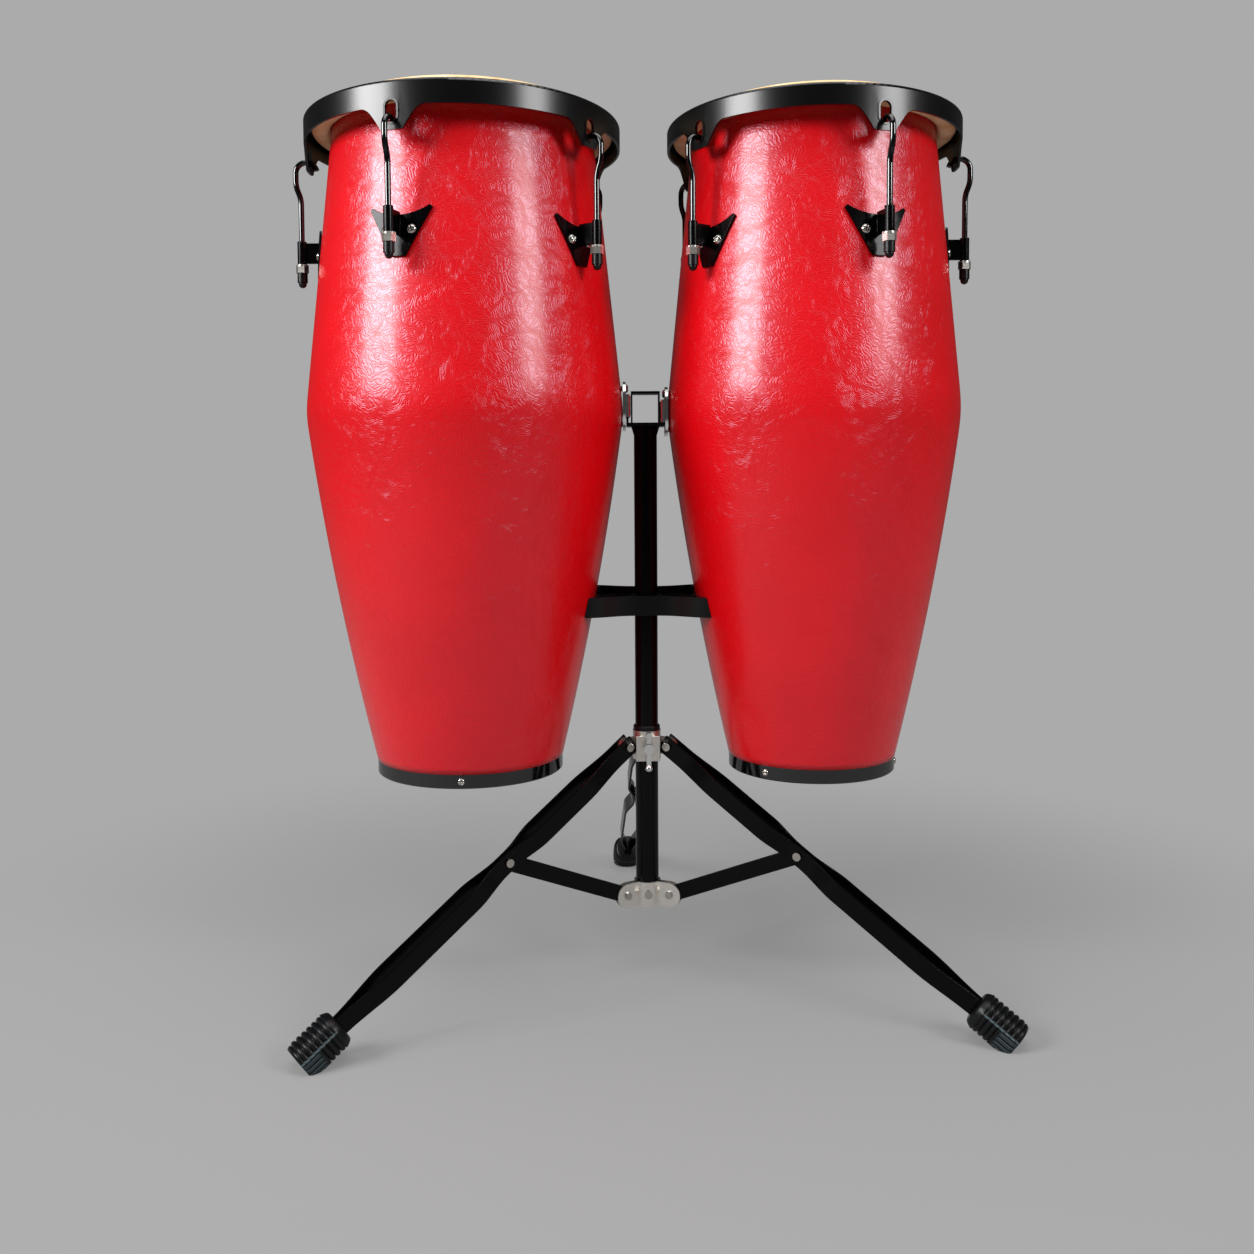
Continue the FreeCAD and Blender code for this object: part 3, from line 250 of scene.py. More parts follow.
def powder_coat():
    # steel rim in satin black powder coat: faint orange peel, soft wide highlights
    material, tree, shader, place = surface("powder_coated_steel_satin", Roughness=0.28,
                                            Base_Color=linear("#030304"), Coat_Weight=0.45,
                                            Coat_Roughness=0.26, Specular_IOR_Level=0.2)
    relief(tree, shader, grain(tree, place, 1.2), 0.03, 0.4)
    return material


def gloss_paint():
    # stove-enamelled steel, gloss black: sharp highlights with a trace of unevenness
    material, tree, shader, place = surface("stove_enamel_gloss_black", Base_Color=linear("#020203"),
                                            Specular_IOR_Level=0.7)
    uneven(tree, shader, grain(tree, place, 14), 0.06, 0.14)
    relief(tree, shader, grain(tree, place, 12, 1), 0.04, 0.3)
    return material


def tube_paint():
    # paint-dipped stand steel, deep black: narrow highlights along tubes and straps, little sheen between
    material, tree, shader, place = surface("dipped_stand_paint_black", Base_Color=linear("#030304"),
                                            Specular_IOR_Level=0.13)
    uneven(tree, shader, grain(tree, place, 20), 0.12, 0.24)
    relief(tree, shader, grain(tree, place, 2.5), 0.02, 0.3, edge_mm=0.9)
    return material


def zinc_plate():
    # bright zinc on pressed steel: pale warm metal, softly brushed round the pole
    material, tree, shader, place = surface("bright_zinc_plate", Metallic=1.0)
    brushed = grain(tree, place, 0.8, 2, (0.08, 0.08, 1))
    tone = add(tree, "ShaderNodeValToRGB", {"stops": [(0.3, "#E2DED6"), (0.7, "#F0EDE6")]},
               in0=brushed).outputs[0]
    tree.links.new(tone, shader.inputs["Base Color"])
    uneven(tree, shader, brushed, 0.3, 0.42)
    return material


def nickel_plate():
    # nickel-plated screw: bright, slightly warm, soft from tumbling
    material, tree, shader, place = surface("tumbled_nickel_plate", Metallic=1.0,
                                            Base_Color=linear("#B9B5AE"))
    uneven(tree, shader, grain(tree, place, 1.5), 0.14, 0.28)
    return material


def chrome_plate():
    # polished chrome over pressed steel: bright, a little soft, with slight waviness from the press
    material, tree, shader, place = surface("pressed_steel_chrome", Metallic=1.0,
                                            Base_Color=linear("#E6E6E5"))
    uneven(tree, shader, grain(tree, place, 6), 0.16, 0.28)
    relief(tree, shader, grain(tree, place, 8, 2), 0.05, 0.3)
    return material


def moulded_plastic():
    # black ABS moulding: satin with a very fine spark-eroded grain
    material, tree, shader, place = surface("moulded_abs_black", Base_Color=linear("#070708"),
                                            Specular_IOR_Level=0.3)
    uneven(tree, shader, grain(tree, place, 2), 0.3, 0.42)
    relief(tree, shader, grain(tree, place, 0.8), 0.03, 0.5)
    return material


def foot_rubber():
    # moulded rubber boot: blue-black with a dull gloss, with a painted highlight of pale blue-grey along
    # its moulded crests
    material, tree, shader, place = surface("moulded_rubber_blue_black", Roughness=0.36,
                                            Specular_IOR_Level=0.25)
    tone = add(tree, "ShaderNodeValToRGB", {"stops": [(0.35, "#060708"), (0.75, "#0C0F11")]},
               in0=grain(tree, place, 9)).outputs[0]
    # painted highlight: the crest attribute mixes pale blue-grey into the base colour where the ridges
    # would catch the lamps
    crest_highlight = add(tree, "ShaderNodeAttribute", {"attribute_name": "crest_highlight"}).outputs["Fac"]
    painted_crest_highlight = add(tree, "ShaderNodeMix", {"data_type": "RGBA"}, Factor=crest_highlight, in6=tone,
                 in7=linear("#62747A"))
    tree.links.new(painted_crest_highlight.outputs[2], shader.inputs["Base Color"])
    relief(tree, shader, grain(tree, place, 0.9), 0.05, 0.5)
    return material


def rawhide():
    # natural rawhide drum head: cream to amber mottling, faint fibres, dull sheen
    material, tree, shader, place = surface("stretched_rawhide", Roughness=0.6, Specular_IOR_Level=0.2)
    mottle = [(0.3, "#D3AC76"), (0.55, "#E6C899"), (0.8, "#EDD9B4")]
    tone = add(tree, "ShaderNodeValToRGB", {"stops": mottle}, in0=grain(tree, place, 22, 6)).outputs[0]
    tree.links.new(tone, shader.inputs["Base Color"])
    relief(tree, shader, grain(tree, place, 1.5, 6), 0.05, 0.4)
    return material


LACQUER = lacquered_shell()
POWDER = powder_coat()
ENAMEL = gloss_paint()
TUBE_PAINT = tube_paint()
BARE_WOOD = bare_wood()
ZINC = zinc_plate()
NICKEL = nickel_plate()
CHROME = chrome_plate()
ABS = moulded_plastic()
RUBBER = foot_rubber()
RAWHIDE = rawhide()

# ---------------------------------------------------------------- drum sizes
# in millimetres; heights count up from a drum's foot, which is LIFT above the floor

LIFT = 238.3
BELLY_HEIGHT = 392.0
LUG_HEIGHT = 568.0
EDGE_DROP = 6.0         # the cone reaches the head's radius this far below the top
EDGE_ROUND = 3.5        # rounding of the bearing edge, under the skin
STAVE_BOW = 20.4        # times share and 1 - share: about 5 mm at the middle of the lower staves
RING_HEIGHT = 15.0
RING_STEEL = 2.4
FOOT_STEP = 0.4         # how far the shell stands over its bottom ring
WALL = 9.0
DRUMS = {
    "left": {"offset": -196.5, "head": 139.0, "belly": 172.6, "foot": 102.2, "top": 714.0,
             "rim_top": 702.8, "soft": 5.6, "lug_turn": -107.0, "step": 72.0, "ring_turn": -89.0,
             "socket": 651.0, "pole_turn": 0.0},
    "right": {"offset": 183.5, "head": 129.0, "belly": 159.8, "foot": 91.2, "top": 710.0,
              "rim_top": 700.0, "soft": 7.2, "lug_turn": -73.0, "step": -72.0, "ring_turn": -131.0,
              "socket": 645.0, "pole_turn": 180.0},
}


def drum_foot(side):
    """The middle of a drum's foot in metres: a drum's heights are counted from here."""
    return pole + Vector((DRUMS[side]["offset"] * MM, 0, LIFT * MM))


# ---------------------------------------------------------------- geometry node helpers

def new_tree(name, inputs):
    """An empty geometry tree with one named input for each size, and its input and output nodes."""
    tree = bpy.data.node_groups.new(name, "GeometryNodeTree")
    tree.is_modifier = True
    for label, kind, value in inputs:
        made = tree.interface.new_socket(label, in_out="INPUT", socket_type=f"NodeSocket{kind}")
        if value is not None:
            made.default_value = value
    tree.interface.new_socket("Geometry", in_out="OUTPUT", socket_type="NodeSocketGeometry")
    return tree, add(tree, "NodeGroupInput").outputs, add(tree, "NodeGroupOutput")


def work_out(tree, value, steps):
    """A written formula as nodes. Each step is (name, operation, what it takes).

    A step takes plain numbers, or names of values that are there already, and adds its own to them.
    """
    for name, operation, *terms in steps:
        taken = {f"in{place}": value[term] if isinstance(term, str) else term
                 for place, term in enumerate(terms)}
        value[name] = add(tree, "ShaderNodeMath", {"operation": operation}, **taken).outputs[0]


def grid_values(tree, given):
    """The tree's named inputs and a grid point's own x and y, ready for work_out."""
    spot = add(tree, "GeometryNodeInputPosition").outputs[0]
    x, y, _ = add(tree, "ShaderNodeSeparateXYZ", Vector=spot).outputs
    return {**{socket.name: socket for socket in given}, "x": x, "y": y}


def finish_tree(tree, shape, material, output):
    """Realises instances, shades smooth, gives the material and ends the tree."""
    real = add(tree, "GeometryNodeRealizeInstances", Geometry=shape).outputs[0]
    soft = add(tree, "GeometryNodeSetShadeSmooth", Geometry=real).outputs[0]
    done = add(tree, "GeometryNodeSetMaterial", Geometry=soft, Material=material).outputs[0]
    tree.links.new(done, output.inputs[0])


def bake(holder):
    """The evaluated object as a plain mesh, with its modifiers gone."""
    bpy.context.view_layer.update()
    seen = holder.evaluated_get(bpy.context.evaluated_depsgraph_get())
    mesh = bpy.data.meshes.new_from_object(seen)
    holder.modifiers.clear()
    holder.data = mesh
    return holder


def grow(name, tree, values, seed_mesh=None):
    """An object whose mesh comes from a tree and its named values."""
    holder = bpy.data.objects.new(name, seed_mesh or bpy.data.meshes.new(name))
    bpy.context.scene.collection.objects.link(holder)
    live = holder.modifiers.new("shape", "NODES")
    live.node_group = tree
    for item in tree.interface.items_tree:
        if item.in_out == "INPUT" and item.name in values:
            live[item.identifier] = values[item.name]
    return bake(holder)


# ---------------------------------------------------------------- shells

def stave_shell_tree():
    """A drum shell turned about its axis: bowed staves below the belly, a straight cone above it."""
    tree, given, output = new_tree("stave_shell", [
        ("Geometry", "Geometry", None), ("Foot Radius", "Float", 0.1), ("Belly Radius", "Float", 0.17),
        ("Head Radius", "Float", 0.14), ("Shell Top", "Float", 0.71), ("Belly Softness", "Float", 0.006),
        ("Columns", "Int", 161), ("Rows", "Int", 110), ("Axis", "Vector", (0.0, 0.0, 0.0)),
        ("Material", "Material", None)])
    ring, belly = RING_HEIGHT * MM, BELLY_HEIGHT * MM
    value = grid_values(tree, given)
    work_out(tree, value, (
        # columns go once round; the two lowest rows turn in under the ring, the rest share the wall
        ("share round", "ADD", "x", 0.5),
        ("turn", "MULTIPLY", "share round", 2 * math.pi),
        ("share up", "ADD", "y", 0.5),
        ("last row", "SUBTRACT", "Rows", 1.0),
        ("row", "MULTIPLY", "share up", "last row"),
        ("past fold", "SUBTRACT", "row", 2.0),
        ("wall row", "MAXIMUM", "past fold", 0.0),
        ("wall rows", "SUBTRACT", "Rows", 3.0),
        ("share", "DIVIDE", "wall row", "wall rows"),
        ("wall top", "SUBTRACT", "Shell Top", EDGE_ROUND * MM),
        ("wall height", "SUBTRACT", "wall top", ring),
        ("unfolded", "MULTIPLY_ADD", "share", "wall height", ring),
        ("lowest row", "LESS_THAN", "row", 0.5),
        ("fold depth", "MULTIPLY", "lowest row", ring - RING_STEEL * MM),
        ("height", "SUBTRACT", "unfolded", "fold depth"),
        # below the belly: a cone with a bow
        ("over ring", "SUBTRACT", "height", ring),
        ("along", "DIVIDE", "over ring", belly - ring),
        ("widening", "SUBTRACT", "Belly Radius", "Foot Radius"),
        ("foot cone", "MULTIPLY_ADD", "widening", "along", "Foot Radius"),
        ("still to go", "SUBTRACT", 1.0, "along"),
        ("swell", "MULTIPLY", "along", "still to go"),
        ("bow", "MULTIPLY", "swell", STAVE_BOW * MM),
        ("lower", "ADD", "foot cone", "bow"),
        # above the belly: a straight cone up to the bearing edge
        ("cone top", "SUBTRACT", "Shell Top", EDGE_DROP * MM),
        ("cone span", "SUBTRACT", "cone top", belly),
        ("narrowing", "SUBTRACT", "Belly Radius", "Head Radius"),
        ("slope", "DIVIDE", "narrowing", "cone span"),
        ("climb", "SUBTRACT", "height", belly),
        ("inset", "MULTIPLY", "climb", "slope"),
        ("upper", "SUBTRACT", "Belly Radius", "inset"),
        ("wall", "SMOOTH_MIN", "lower", "upper", "Belly Softness"),
        # inside the bottom ring the shell is thinner by the ring's steel
        ("in ring", "LESS_THAN", "row", 1.5),
        ("above ring", "SUBTRACT", 1.0, "in ring"),
        ("tucked", "SUBTRACT", "Foot Radius", RING_STEEL * MM),
        ("wall part", "MULTIPLY", "wall", "above ring"),
        ("ring part", "MULTIPLY", "tucked", "in ring"),
        ("radius", "ADD", "wall part", "ring part"),
        ("cosine", "COSINE", "turn"),
        ("sine", "SINE", "turn"),
        ("across", "MULTIPLY", "radius", "cosine"),
        ("deep", "MULTIPLY", "radius", "sine"),
    ))
    turned = add(tree, "ShaderNodeCombineXYZ", X=value["across"], Y=value["deep"], Z=value["height"])
    placed = add(tree, "ShaderNodeVectorMath", {"operation": "ADD"}, in0=turned.outputs[0],
                 in1=given["Axis"]).outputs[0]
    sheet = add(tree, "GeometryNodeMeshGrid", Size_X=1.0, Size_Y=1.0, Vertices_X=given["Columns"],
                Vertices_Y=given["Rows"]).outputs[0]
    wall = add(tree, "GeometryNodeSetPosition", Geometry=sheet, Position=placed).outputs[0]
    sewn = add(tree, "GeometryNodeMergeByDistance", Geometry=wall, Distance=0.02 * MM).outputs[0]
    finish_tree(tree, sewn, given["Material"], output)
    return tree


def make_shell(side, tree):
    """Lacquered outside, bare wood inside, with a real wall."""
    drum = DRUMS[side]
    axis = drum_foot(side)
    shell = grow(f"{side}_stave_shell", tree, {
        "Foot Radius": (drum["foot"] + FOOT_STEP) * MM, "Belly Radius": drum["belly"] * MM,
        "Head Radius": drum["head"] * MM, "Shell Top": drum["top"] * MM,
        "Belly Softness": drum["soft"] * MM, "Axis": tuple(axis), "Material": LACQUER})
    shell.data.materials.append(BARE_WOOD)
    wall = shell.modifiers.new("wall", "SOLIDIFY")
    wall.thickness = WALL * MM
    wall.offset = -1
    wall.material_offset = 1
    wall.material_offset_rim = 1
    bake(shell)
    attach(shell, f"{side}_drum")
    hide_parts(f"{side}_shell")


# ---------------------------------------------------------------- rawhide heads

def turned_sheet(name, line, thickness, columns, axis, material):
    """A skin turned from a mid line of (radius, height), closed at the centre and round its edge."""
    offsets = []
    for index, (radius, height) in enumerate(line):
        before = line[max(index - 1, 0)]
        after = line[min(index + 1, len(line) - 1)]
        run = Vector((after[0] - before[0], after[1] - before[1])).normalized()
        offsets.append(Vector((-run.y, run.x)) * thickness / 2)
    outside = [(r + n.x, z + n.y) for (r, z), n in zip(line, offsets)]
    inside = [(r - n.x, z - n.y) for (r, z), n in zip(line, offsets)]
    outline = outside[1:] + inside[:0:-1]
    shape = bmesh.new()
    rings = []
    for radius, height in outline:
        ring = []
        for column in range(columns):
            turn = 2 * math.pi * column / columns
            spot = Vector((radius * math.cos(turn), radius * math.sin(turn), height))
            ring.append(shape.verts.new(axis + spot * MM))
        rings.append(ring)
    for low, high in zip(rings, rings[1:]):
        for column in range(columns):
            after = (column + 1) % columns
            shape.faces.new((low[column], low[after], high[after], high[column]))
    for ring, (_, height) in ((rings[0], outside[0]), (rings[-1], inside[0])):
        pole_spot = shape.verts.new(axis + Vector((0, 0, height)) * MM)
        for column in range(columns):
            shape.faces.new((pole_spot, ring[column], ring[(column + 1) % columns]))
    bmesh.ops.recalc_face_normals(shape, faces=shape.faces)
    mesh = bpy.data.meshes.new(name)
    shape.to_mesh(mesh)
    shape.free()
    mesh.shade_smooth()
    mesh.materials.append(material)
    made = bpy.data.objects.new(name, mesh)
    bpy.context.scene.collection.objects.link(made)
    return made


SKIN = 1.6
SKIRT_DROP = 14.5       # lowest point of the skin's fold, below the rim's top
HOOP_WRAP = 4.0         # radius at which the skin goes round the flesh hoop
HEAD_COLUMNS = 160


def make_head(side):
    """Rawhide pulled over the bearing edge, down the shell and round the flesh hoop under the rim."""
    drum = DRUMS[side]
    head, top, rim_top = drum["head"], drum["top"], drum["rim_top"]
    cone_top = top - EDGE_DROP
    slope = (drum["belly"] - head) / (cone_top - BELLY_HEIGHT)
    low = rim_top - SKIRT_DROP
    line = [(0.0, top + 1.1), (head * 0.3, top + 1.1), (head * 0.6, top + 1.1), (head - 18, top + 1.1),
            (head - 8, top + 1.1), (head - 4.6, top + 0.9), (head - 2.2, top), (head - 0.4, top - 1.7),
            (head + 0.9, top - 4.0), (head + 1.5, top - 7.0)]
    # down the cone, out under the rim and round the hoop
    for height in (top - 11, low + 9, low + 5):
        line.append((head + 1.6 + slope * (cone_top - height), height))
    edge = line[-1][0]
    line += [(edge + 1.2, low + 2.2), (edge + 4.0, low + 0.4), (edge + 8.5, low),
             (edge + 13.0, low + 0.9)]
    hoop = Vector((head + 18.2, rim_top - 8.9))
    for angle in range(-60, 171, 23):
        turn = math.radians(angle)
        line.append((hoop.x + HOOP_WRAP * math.cos(turn), hoop.y + HOOP_WRAP * math.sin(turn)))
    axis = drum_foot(side)
    skin = turned_sheet(f"{side}_rawhide_head", line, SKIN, HEAD_COLUMNS, axis, RAWHIDE)
    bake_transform(skin)
    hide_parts(f"{side}_head_skin", f"{side}_flesh_hoop")


# ---------------------------------------------------------------- cross-recess screws

def screw_tree():
    """Domed screw heads with a cross recess, one on each seed point, turned to that point's facing."""
    tree, given, output = new_tree("cross_recess_screws", [
        ("Geometry", "Geometry", None), ("Head Radius", "Float", 0.005), ("Dome Height", "Float", 0.0034),
        ("Recess Width", "Float", 0.0011), ("Recess Length", "Float", 0.0026),
        ("Recess Depth", "Float", 0.0016), ("Shank Radius", "Float", 0.003),
        ("Shank Length", "Float", 0.016), ("Material", "Material", None)])
    value = grid_values(tree, given)
    for own, other in (("x", "y"), ("y", "x")):
        # a square grid pressed to a disc
        work_out(tree, value, (
            ("squared", "MULTIPLY", other, other),
            ("halved", "MULTIPLY", "squared", 0.5),
            ("left over", "SUBTRACT", 1.0, "halved"),
            ("pull", "SQRT", "left over"),
            ("pulled", "MULTIPLY", own, "pull"),
            (f"disc {own}", "MULTIPLY", "pulled", "Head Radius")))
    work_out(tree, value, (
        ("xx", "MULTIPLY", "disc x", "disc x"),
        ("yy", "MULTIPLY", "disc y", "disc y"),
        ("both", "ADD", "xx", "yy"),
        ("span", "SQRT", "both"),
        ("reach", "DIVIDE", "span", "Head Radius"),
        ("part", "MINIMUM", "reach", 1.0),
        ("fall", "POWER", "part", 2.4),
        ("crown", "SUBTRACT", 1.0, "fall"),
        ("round crown", "POWER", "crown", 0.55),
        ("dome", "MULTIPLY", "Dome Height", "round crown"),
        # the recess: two crossed arms, sunk straight down
        ("off x", "ABSOLUTE", "disc x"),
        ("arm x", "LESS_THAN", "off x", "Recess Width"),
        ("off y", "ABSOLUTE", "disc y"),
        ("arm y", "LESS_THAN", "off y", "Recess Width"),
        ("arms", "MAXIMUM", "arm x", "arm y"),
        ("inner", "LESS_THAN", "span", "Recess Length"),
        ("recess", "MULTIPLY", "arms", "inner"),
        ("sunk", "MULTIPLY", "recess", "Recess Depth"),
        ("height", "SUBTRACT", "dome", "sunk"),
        ("shank drop", "MULTIPLY", "Shank Length", -0.5),
    ))
    face = add(tree, "GeometryNodeMeshGrid", Size_X=2.0, Size_Y=2.0, Vertices_X=31,
               Vertices_Y=31).outputs[0]
    cap_spot = add(tree, "ShaderNodeCombineXYZ", X=value["disc x"], Y=value["disc y"],
                   Z=value["height"]).outputs[0]
    cap = add(tree, "GeometryNodeSetPosition", Geometry=face, Position=cap_spot).outputs[0]
    bar = add(tree, "GeometryNodeMeshCylinder", Vertices=20, Radius=given["Shank Radius"],
              Depth=given["Shank Length"]).outputs["Mesh"]
    drop = add(tree, "ShaderNodeCombineXYZ", Z=value["shank drop"]).outputs[0]
    shank = add(tree, "GeometryNodeSetPosition", Geometry=bar, Offset=drop).outputs[0]
    whole = add(tree, "GeometryNodeJoinGeometry")
    tree.links.new(cap, whole.inputs[0])
    tree.links.new(shank, whole.inputs[0])
    facing = add(tree, "GeometryNodeInputNamedAttribute", {"data_type": "FLOAT_VECTOR"},
                 Name="facing").outputs[0]
    aim = add(tree, "FunctionNodeAlignRotationToVector", {"axis": "Z"}, Vector=facing).outputs[0]
    dots = add(tree, "GeometryNodeMeshToPoints", Mesh=given["Geometry"]).outputs[0]
    set_out = add(tree, "GeometryNodeInstanceOnPoints", Points=dots, Instance=whole.outputs[0],
                  Rotation=aim)
    finish_tree(tree, set_out.outputs[0], given["Material"], output)
    return tree


def seats(name, places):
    """Seed points in metres, each with the way its screw faces."""
    mesh = bpy.data.meshes.new(name)
    mesh.from_pydata([tuple(spot) for spot, _ in places], [], [])
    facing = mesh.attributes.new("facing", "FLOAT_VECTOR", "POINT")
    for index, (_, way) in enumerate(places):
        facing.data[index].vector = way
    return mesh


def around(axis, turn, reach, height):
    """A point and its outward direction at an angle about a drum's axis."""
    angle = math.radians(turn)
    way = Vector((math.cos(angle), math.sin(angle), 0))
    return axis + (way * reach + Vector((0, 0, height))) * MM, way


SCREW_DROP = 5.5        # lug screws sit this far below the lug's middle
WING_REACH = 13.2       # and this far to each side of it
LUG_STEEL = 2.6
RECEIVER_FLAT = 1.3     # depth of the flat the receiver sits on
RECEIVER_BACKING = 0.5
RECEIVER_SHEET = 3.0
RECEIVER_DROP = 12.5    # the receiver's middle, below its socket's top
RECEIVER_SCREW = 19.5   # its screws, above and below its middle
RING_SCREW_HEIGHT = 7.5


def make_screws(side, tree):
    """The lug and receiver screws, and the small wood screws of the bottom ring."""
    drum = DRUMS[side]
    axis = drum_foot(side)
    slope = (drum["belly"] - drum["head"]) / (drum["top"] - BELLY_HEIGHT)
    tilt = math.atan(slope)
    lug_seat = drum["head"] + slope * (drum["top"] - LUG_HEIGHT)
    wing = math.degrees(WING_REACH / lug_seat)
    reach = drum["head"] + slope * (drum["top"] - LUG_HEIGHT + SCREW_DROP)
    big = []
    for number in range(5):
        for hand in (-wing, wing):
            turn = drum["lug_turn"] + drum["step"] * number + hand
            spot, way = around(axis, turn, reach, LUG_HEIGHT - SCREW_DROP)
            out = (way * math.cos(tilt) + Vector((0, 0, math.sin(tilt)))).normalized()
            big.append((spot + out * LUG_STEEL * MM, out))
    face = drum["belly"] - RECEIVER_FLAT + RECEIVER_BACKING + RECEIVER_SHEET
    middle = drum["socket"] - LIFT - RECEIVER_DROP
    big.append(around(axis, drum["pole_turn"], face - 0.1, middle + RECEIVER_SCREW))
    screws = grow(f"{side}_cross_screws", tree, {
        "Head Radius": 5.0 * MM, "Dome Height": 3.3 * MM, "Recess Width": 0.75 * MM,
        "Recess Length": 2.9 * MM, "Recess Depth": 1.9 * MM, "Shank Radius": 2.9 * MM,
        "Shank Length": 16 * MM, "Material": NICKEL},
        seats(f"{side}_screw_seats", big))
    flush = grow(f"{side}_flush_screw", tree, {
        "Head Radius": 5.0 * MM, "Dome Height": 0.35 * MM, "Recess Width": 0.75 * MM,
        "Recess Length": 2.9 * MM, "Recess Depth": 1.2 * MM, "Shank Radius": 2.9 * MM,
        "Shank Length": 16 * MM, "Material": NICKEL},
        seats(f"{side}_flush_seat", [around(axis, drum["pole_turn"], face - 0.4,
                                            middle - RECEIVER_SCREW)]))
    small = grow(f"{side}_ring_cross_screws", tree, {
        "Head Radius": 3.8 * MM, "Dome Height": 1.8 * MM, "Recess Width": 0.55 * MM,
        "Recess Length": 2.2 * MM, "Recess Depth": 1.2 * MM, "Shank Radius": 1.7 * MM,
        "Shank Length": 9 * MM, "Material": NICKEL},
        seats(f"{side}_ring_seats", [around(axis, drum["ring_turn"] + 120 * number, drum["foot"],
                                            RING_SCREW_HEIGHT) for number in range(3)]))
    for made in (screws, flush, small):
        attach(made, f"{side}_drum")
    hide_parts(f"{side}_fixing_screws")
    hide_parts(f"{side}_ring_screws")


# ---------------------------------------------------------------- rubber boots

LEG_TURNS = {"left": 213.0, "right": 333.0, "rear": 93.0}
LEG_TOP = Vector((27.7, 0, 263.0))
LEG_PINCH = Vector((177.0, 0, 160.0))
BOOT_START, BOOT_LENGTH = 404.5, 48.5
BOOT_RADIUS, BOOT_SQUARENESS = 19.0, 2.5
SHOULDER_LENGTH, SHOULDER_SHARE, SHOULDER_RISE = 7.0, 0.74, 0.26
GRIP_PITCH, GRIP_DEPTH = 6.0, 2.8
GRIP_START, GRIP_END, CHEEK_END = 8.0, 47.0, 26.1
TOP_EDGE, CHEEK_EDGE, FLUTE_EDGE = 0.4, 0.32, 0.28     # shares of the way up a boot's side
FLUTES, FLUTE_START, FLUTE_DEPTH = 11.0, 28.0, 1.6
SEAM_PLACE, SEAM_WIDTH, SEAM_HEIGHT = 0.36, 0.035, 0.5
TOE_START, TOE_TUCK = 44.5, 2.4
BOOT_COLUMNS, BOOT_ROWS = 176, 97


def clamp(value):
    """A value held between 0 and 1."""
    return min(max(value, 0.0), 1.0)


def boot_form(turn, station):
    """A boot's radius at an angle about the leg and a distance from its top, and how much painted
    highlight it takes there.
    """
    across, up = abs(math.cos(turn)), math.sin(turn)
    corner = (across ** BOOT_SQUARENESS + abs(up) ** BOOT_SQUARENESS) ** (1 / BOOT_SQUARENESS)
    rounding = math.sqrt(min(station / SHOULDER_LENGTH, 1.0))
    shoulder = min(1.0, SHOULDER_SHARE + SHOULDER_RISE * rounding)
    grip = 1.0 - abs(math.sin(math.pi * (station - GRIP_START) / GRIP_PITCH)) ** 0.5
    over = clamp((up - TOP_EDGE) / 0.06) * (GRIP_START < station < GRIP_END)
    cheek = clamp((CHEEK_EDGE - up) / 0.06) * (GRIP_START < station < CHEEK_END)
    fluted = clamp((FLUTE_EDGE - up) / 0.08) * clamp((station - FLUTE_START) / 3.0)
    wave = abs(math.sin(turn * FLUTES))
    seam = math.exp(-((up - SEAM_PLACE) / SEAM_WIDTH) ** 2) * clamp((station - 5.0) / 2.0)
    radius = BOOT_RADIUS / corner * shoulder - GRIP_DEPTH * grip * max(over, cheek)
    radius += SEAM_HEIGHT * seam - FLUTE_DEPTH * (1.0 - wave ** 0.5) * fluted
    # painted highlight share: along the seam and the grip crests, and at the flute edges
    flute_edge = 0.8 * fluted * math.exp(-((wave - 0.8) / 0.12) ** 2)
    crest_highlight = max(seam * (0.1 + 0.9 * (1.0 - grip)), flute_edge)
    return radius - clamp((station - TOE_START) / 4.0) * TOE_TUCK, crest_highlight


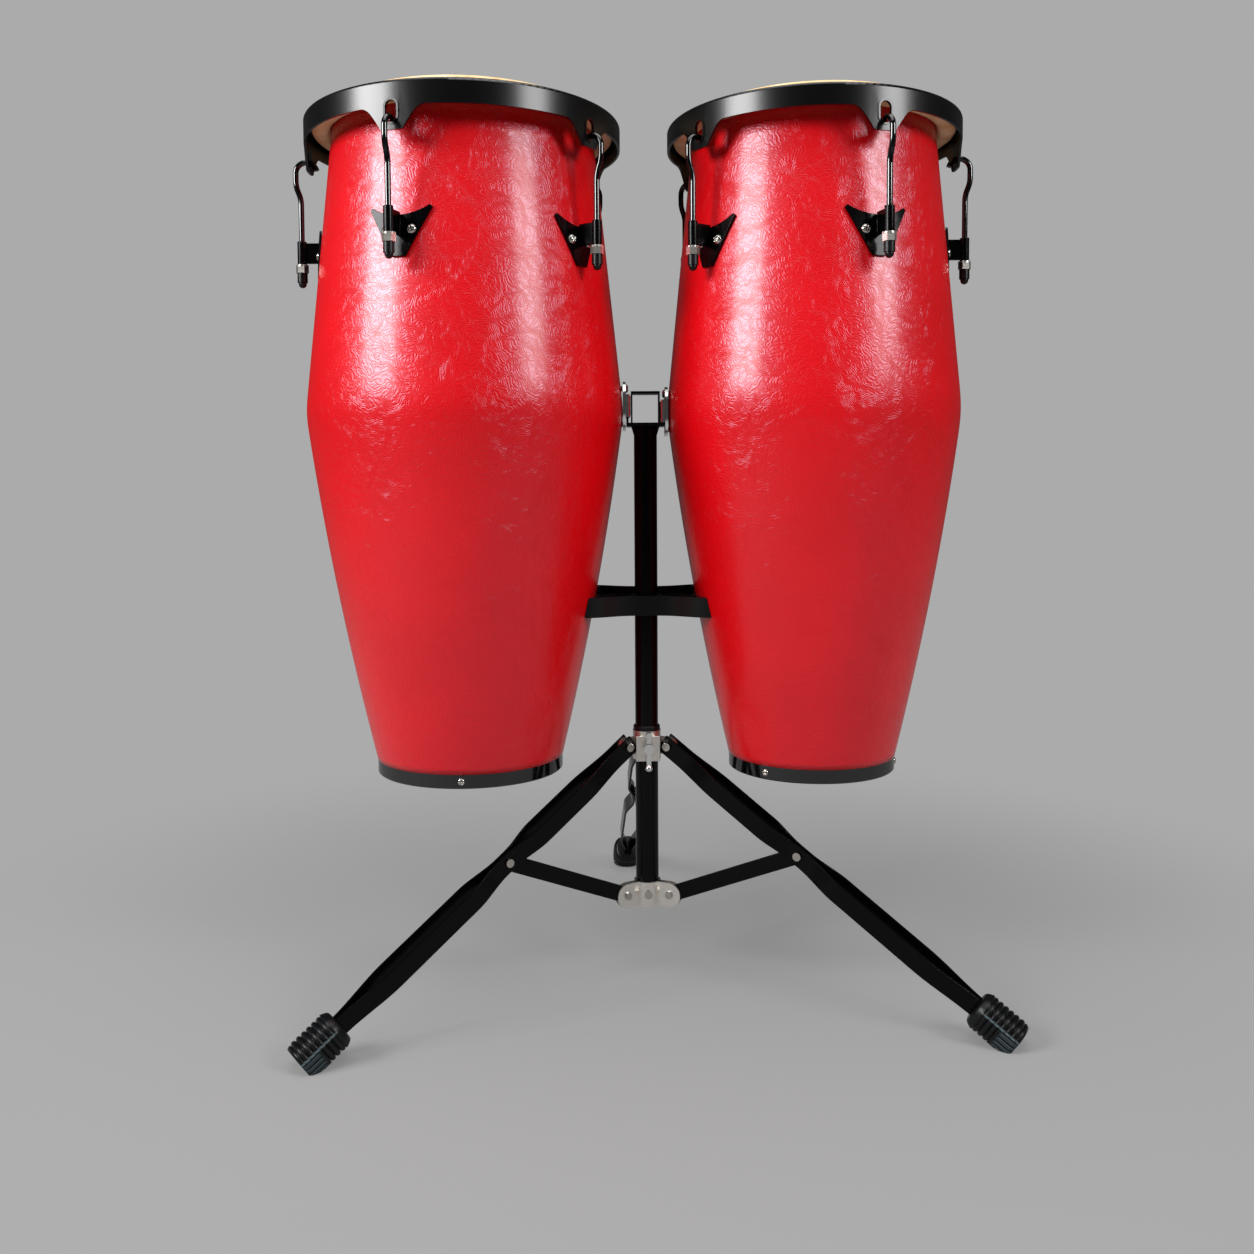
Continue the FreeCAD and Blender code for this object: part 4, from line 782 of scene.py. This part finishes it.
def make_boot(leg):
    """A moulded boot: scalloped grips above, fluted cheeks and a pad worn flat on the floor."""
    turn = math.radians(LEG_TURNS[leg])
    swing = Matrix.Rotation(turn, 3, "Z")
    along = (LEG_PINCH - LEG_TOP).normalized()
    upward = Vector((-along.z, 0, along.x))
    sideways = Vector((0, 1, 0))
    shape = bmesh.new()
    # each point keeps its painted highlight share, which the rubber material turns into pale blue-grey
    crest_highlight_layer = shape.verts.layers.float.new("crest_highlight")
    rings = []
    for row in range(BOOT_ROWS + 1):
        station = BOOT_LENGTH * row / BOOT_ROWS
        ring = []
        for column in range(BOOT_COLUMNS):
            angle = 2 * math.pi * column / BOOT_COLUMNS
            radius, crest_highlight = boot_form(angle, station)
            outward = upward * math.sin(angle) + sideways * math.cos(angle)
            spot = swing @ (LEG_TOP + along * (BOOT_START + station) + outward * radius)
            spot.z = max(spot.z, 0.0)
            corner = shape.verts.new(pole + spot * MM)
            corner[crest_highlight_layer] = crest_highlight
            ring.append(corner)
        rings.append(ring)
    for low, high in zip(rings, rings[1:]):
        for column in range(BOOT_COLUMNS):
            after = (column + 1) % BOOT_COLUMNS
            shape.faces.new((low[column], high[column], high[after], low[after]))
    shape.faces.new(rings[0])
    shape.faces.new(list(reversed(rings[-1])))
    bmesh.ops.recalc_face_normals(shape, faces=shape.faces)
    mesh = bpy.data.meshes.new(f"{leg}_boot")
    shape.to_mesh(mesh)
    shape.free()
    mesh.shade_smooth()
    mesh.materials.append(RUBBER)
    boot = bpy.data.objects.new(f"{leg}_boot", mesh)
    bpy.context.scene.collection.objects.link(boot)
    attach(boot, f"{leg}_leg")
    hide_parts(f"{leg}_foot")


# ---------------------------------------------------------------- dressing the frame

for side in SIDES:
    dress(ENAMEL, f"{side}_bottom_ring", f"{side}_tuning_hooks")
    dress(TUBE_PAINT, f"{side}_tuning_lugs")
    dress(POWDER, f"{side}_rim")
    dress(ZINC, f"{side}_inner_nuts", *[f"{side}_tuning_nut_{number}" for number in range(1, 6)])
    dress(ABS, f"{side}_rod_caps")
    dress(CHROME, f"{side}_receiver")
dress(ENAMEL, "hanger")
dress(TUBE_PAINT, "pole")
dress(ABS, "rest_yoke", "collar_bush")
dress(ZINC, "yoke_screw", "fold_collar", "hub_segments")
dress(NICKEL, "hub_rivets", "hub_screw", "leg_pivot_screws")
dress(CHROME, "clamp_bolt")
for leg in LEG_TURNS:
    dress(TUBE_PAINT, f"{leg}_leg_straps", f"{leg}_brace")
    dress(NICKEL, f"{leg}_brace_screw")

SHELL_TREE = stave_shell_tree()
SCREW_TREE = screw_tree()
for side in SIDES:
    make_shell(side, SHELL_TREE)
    make_head(side)
    make_screws(side, SCREW_TREE)
for leg in LEG_TURNS:
    make_boot(leg)


# ---------------------------------------------------------------- finish

bpy.context.view_layer.update()
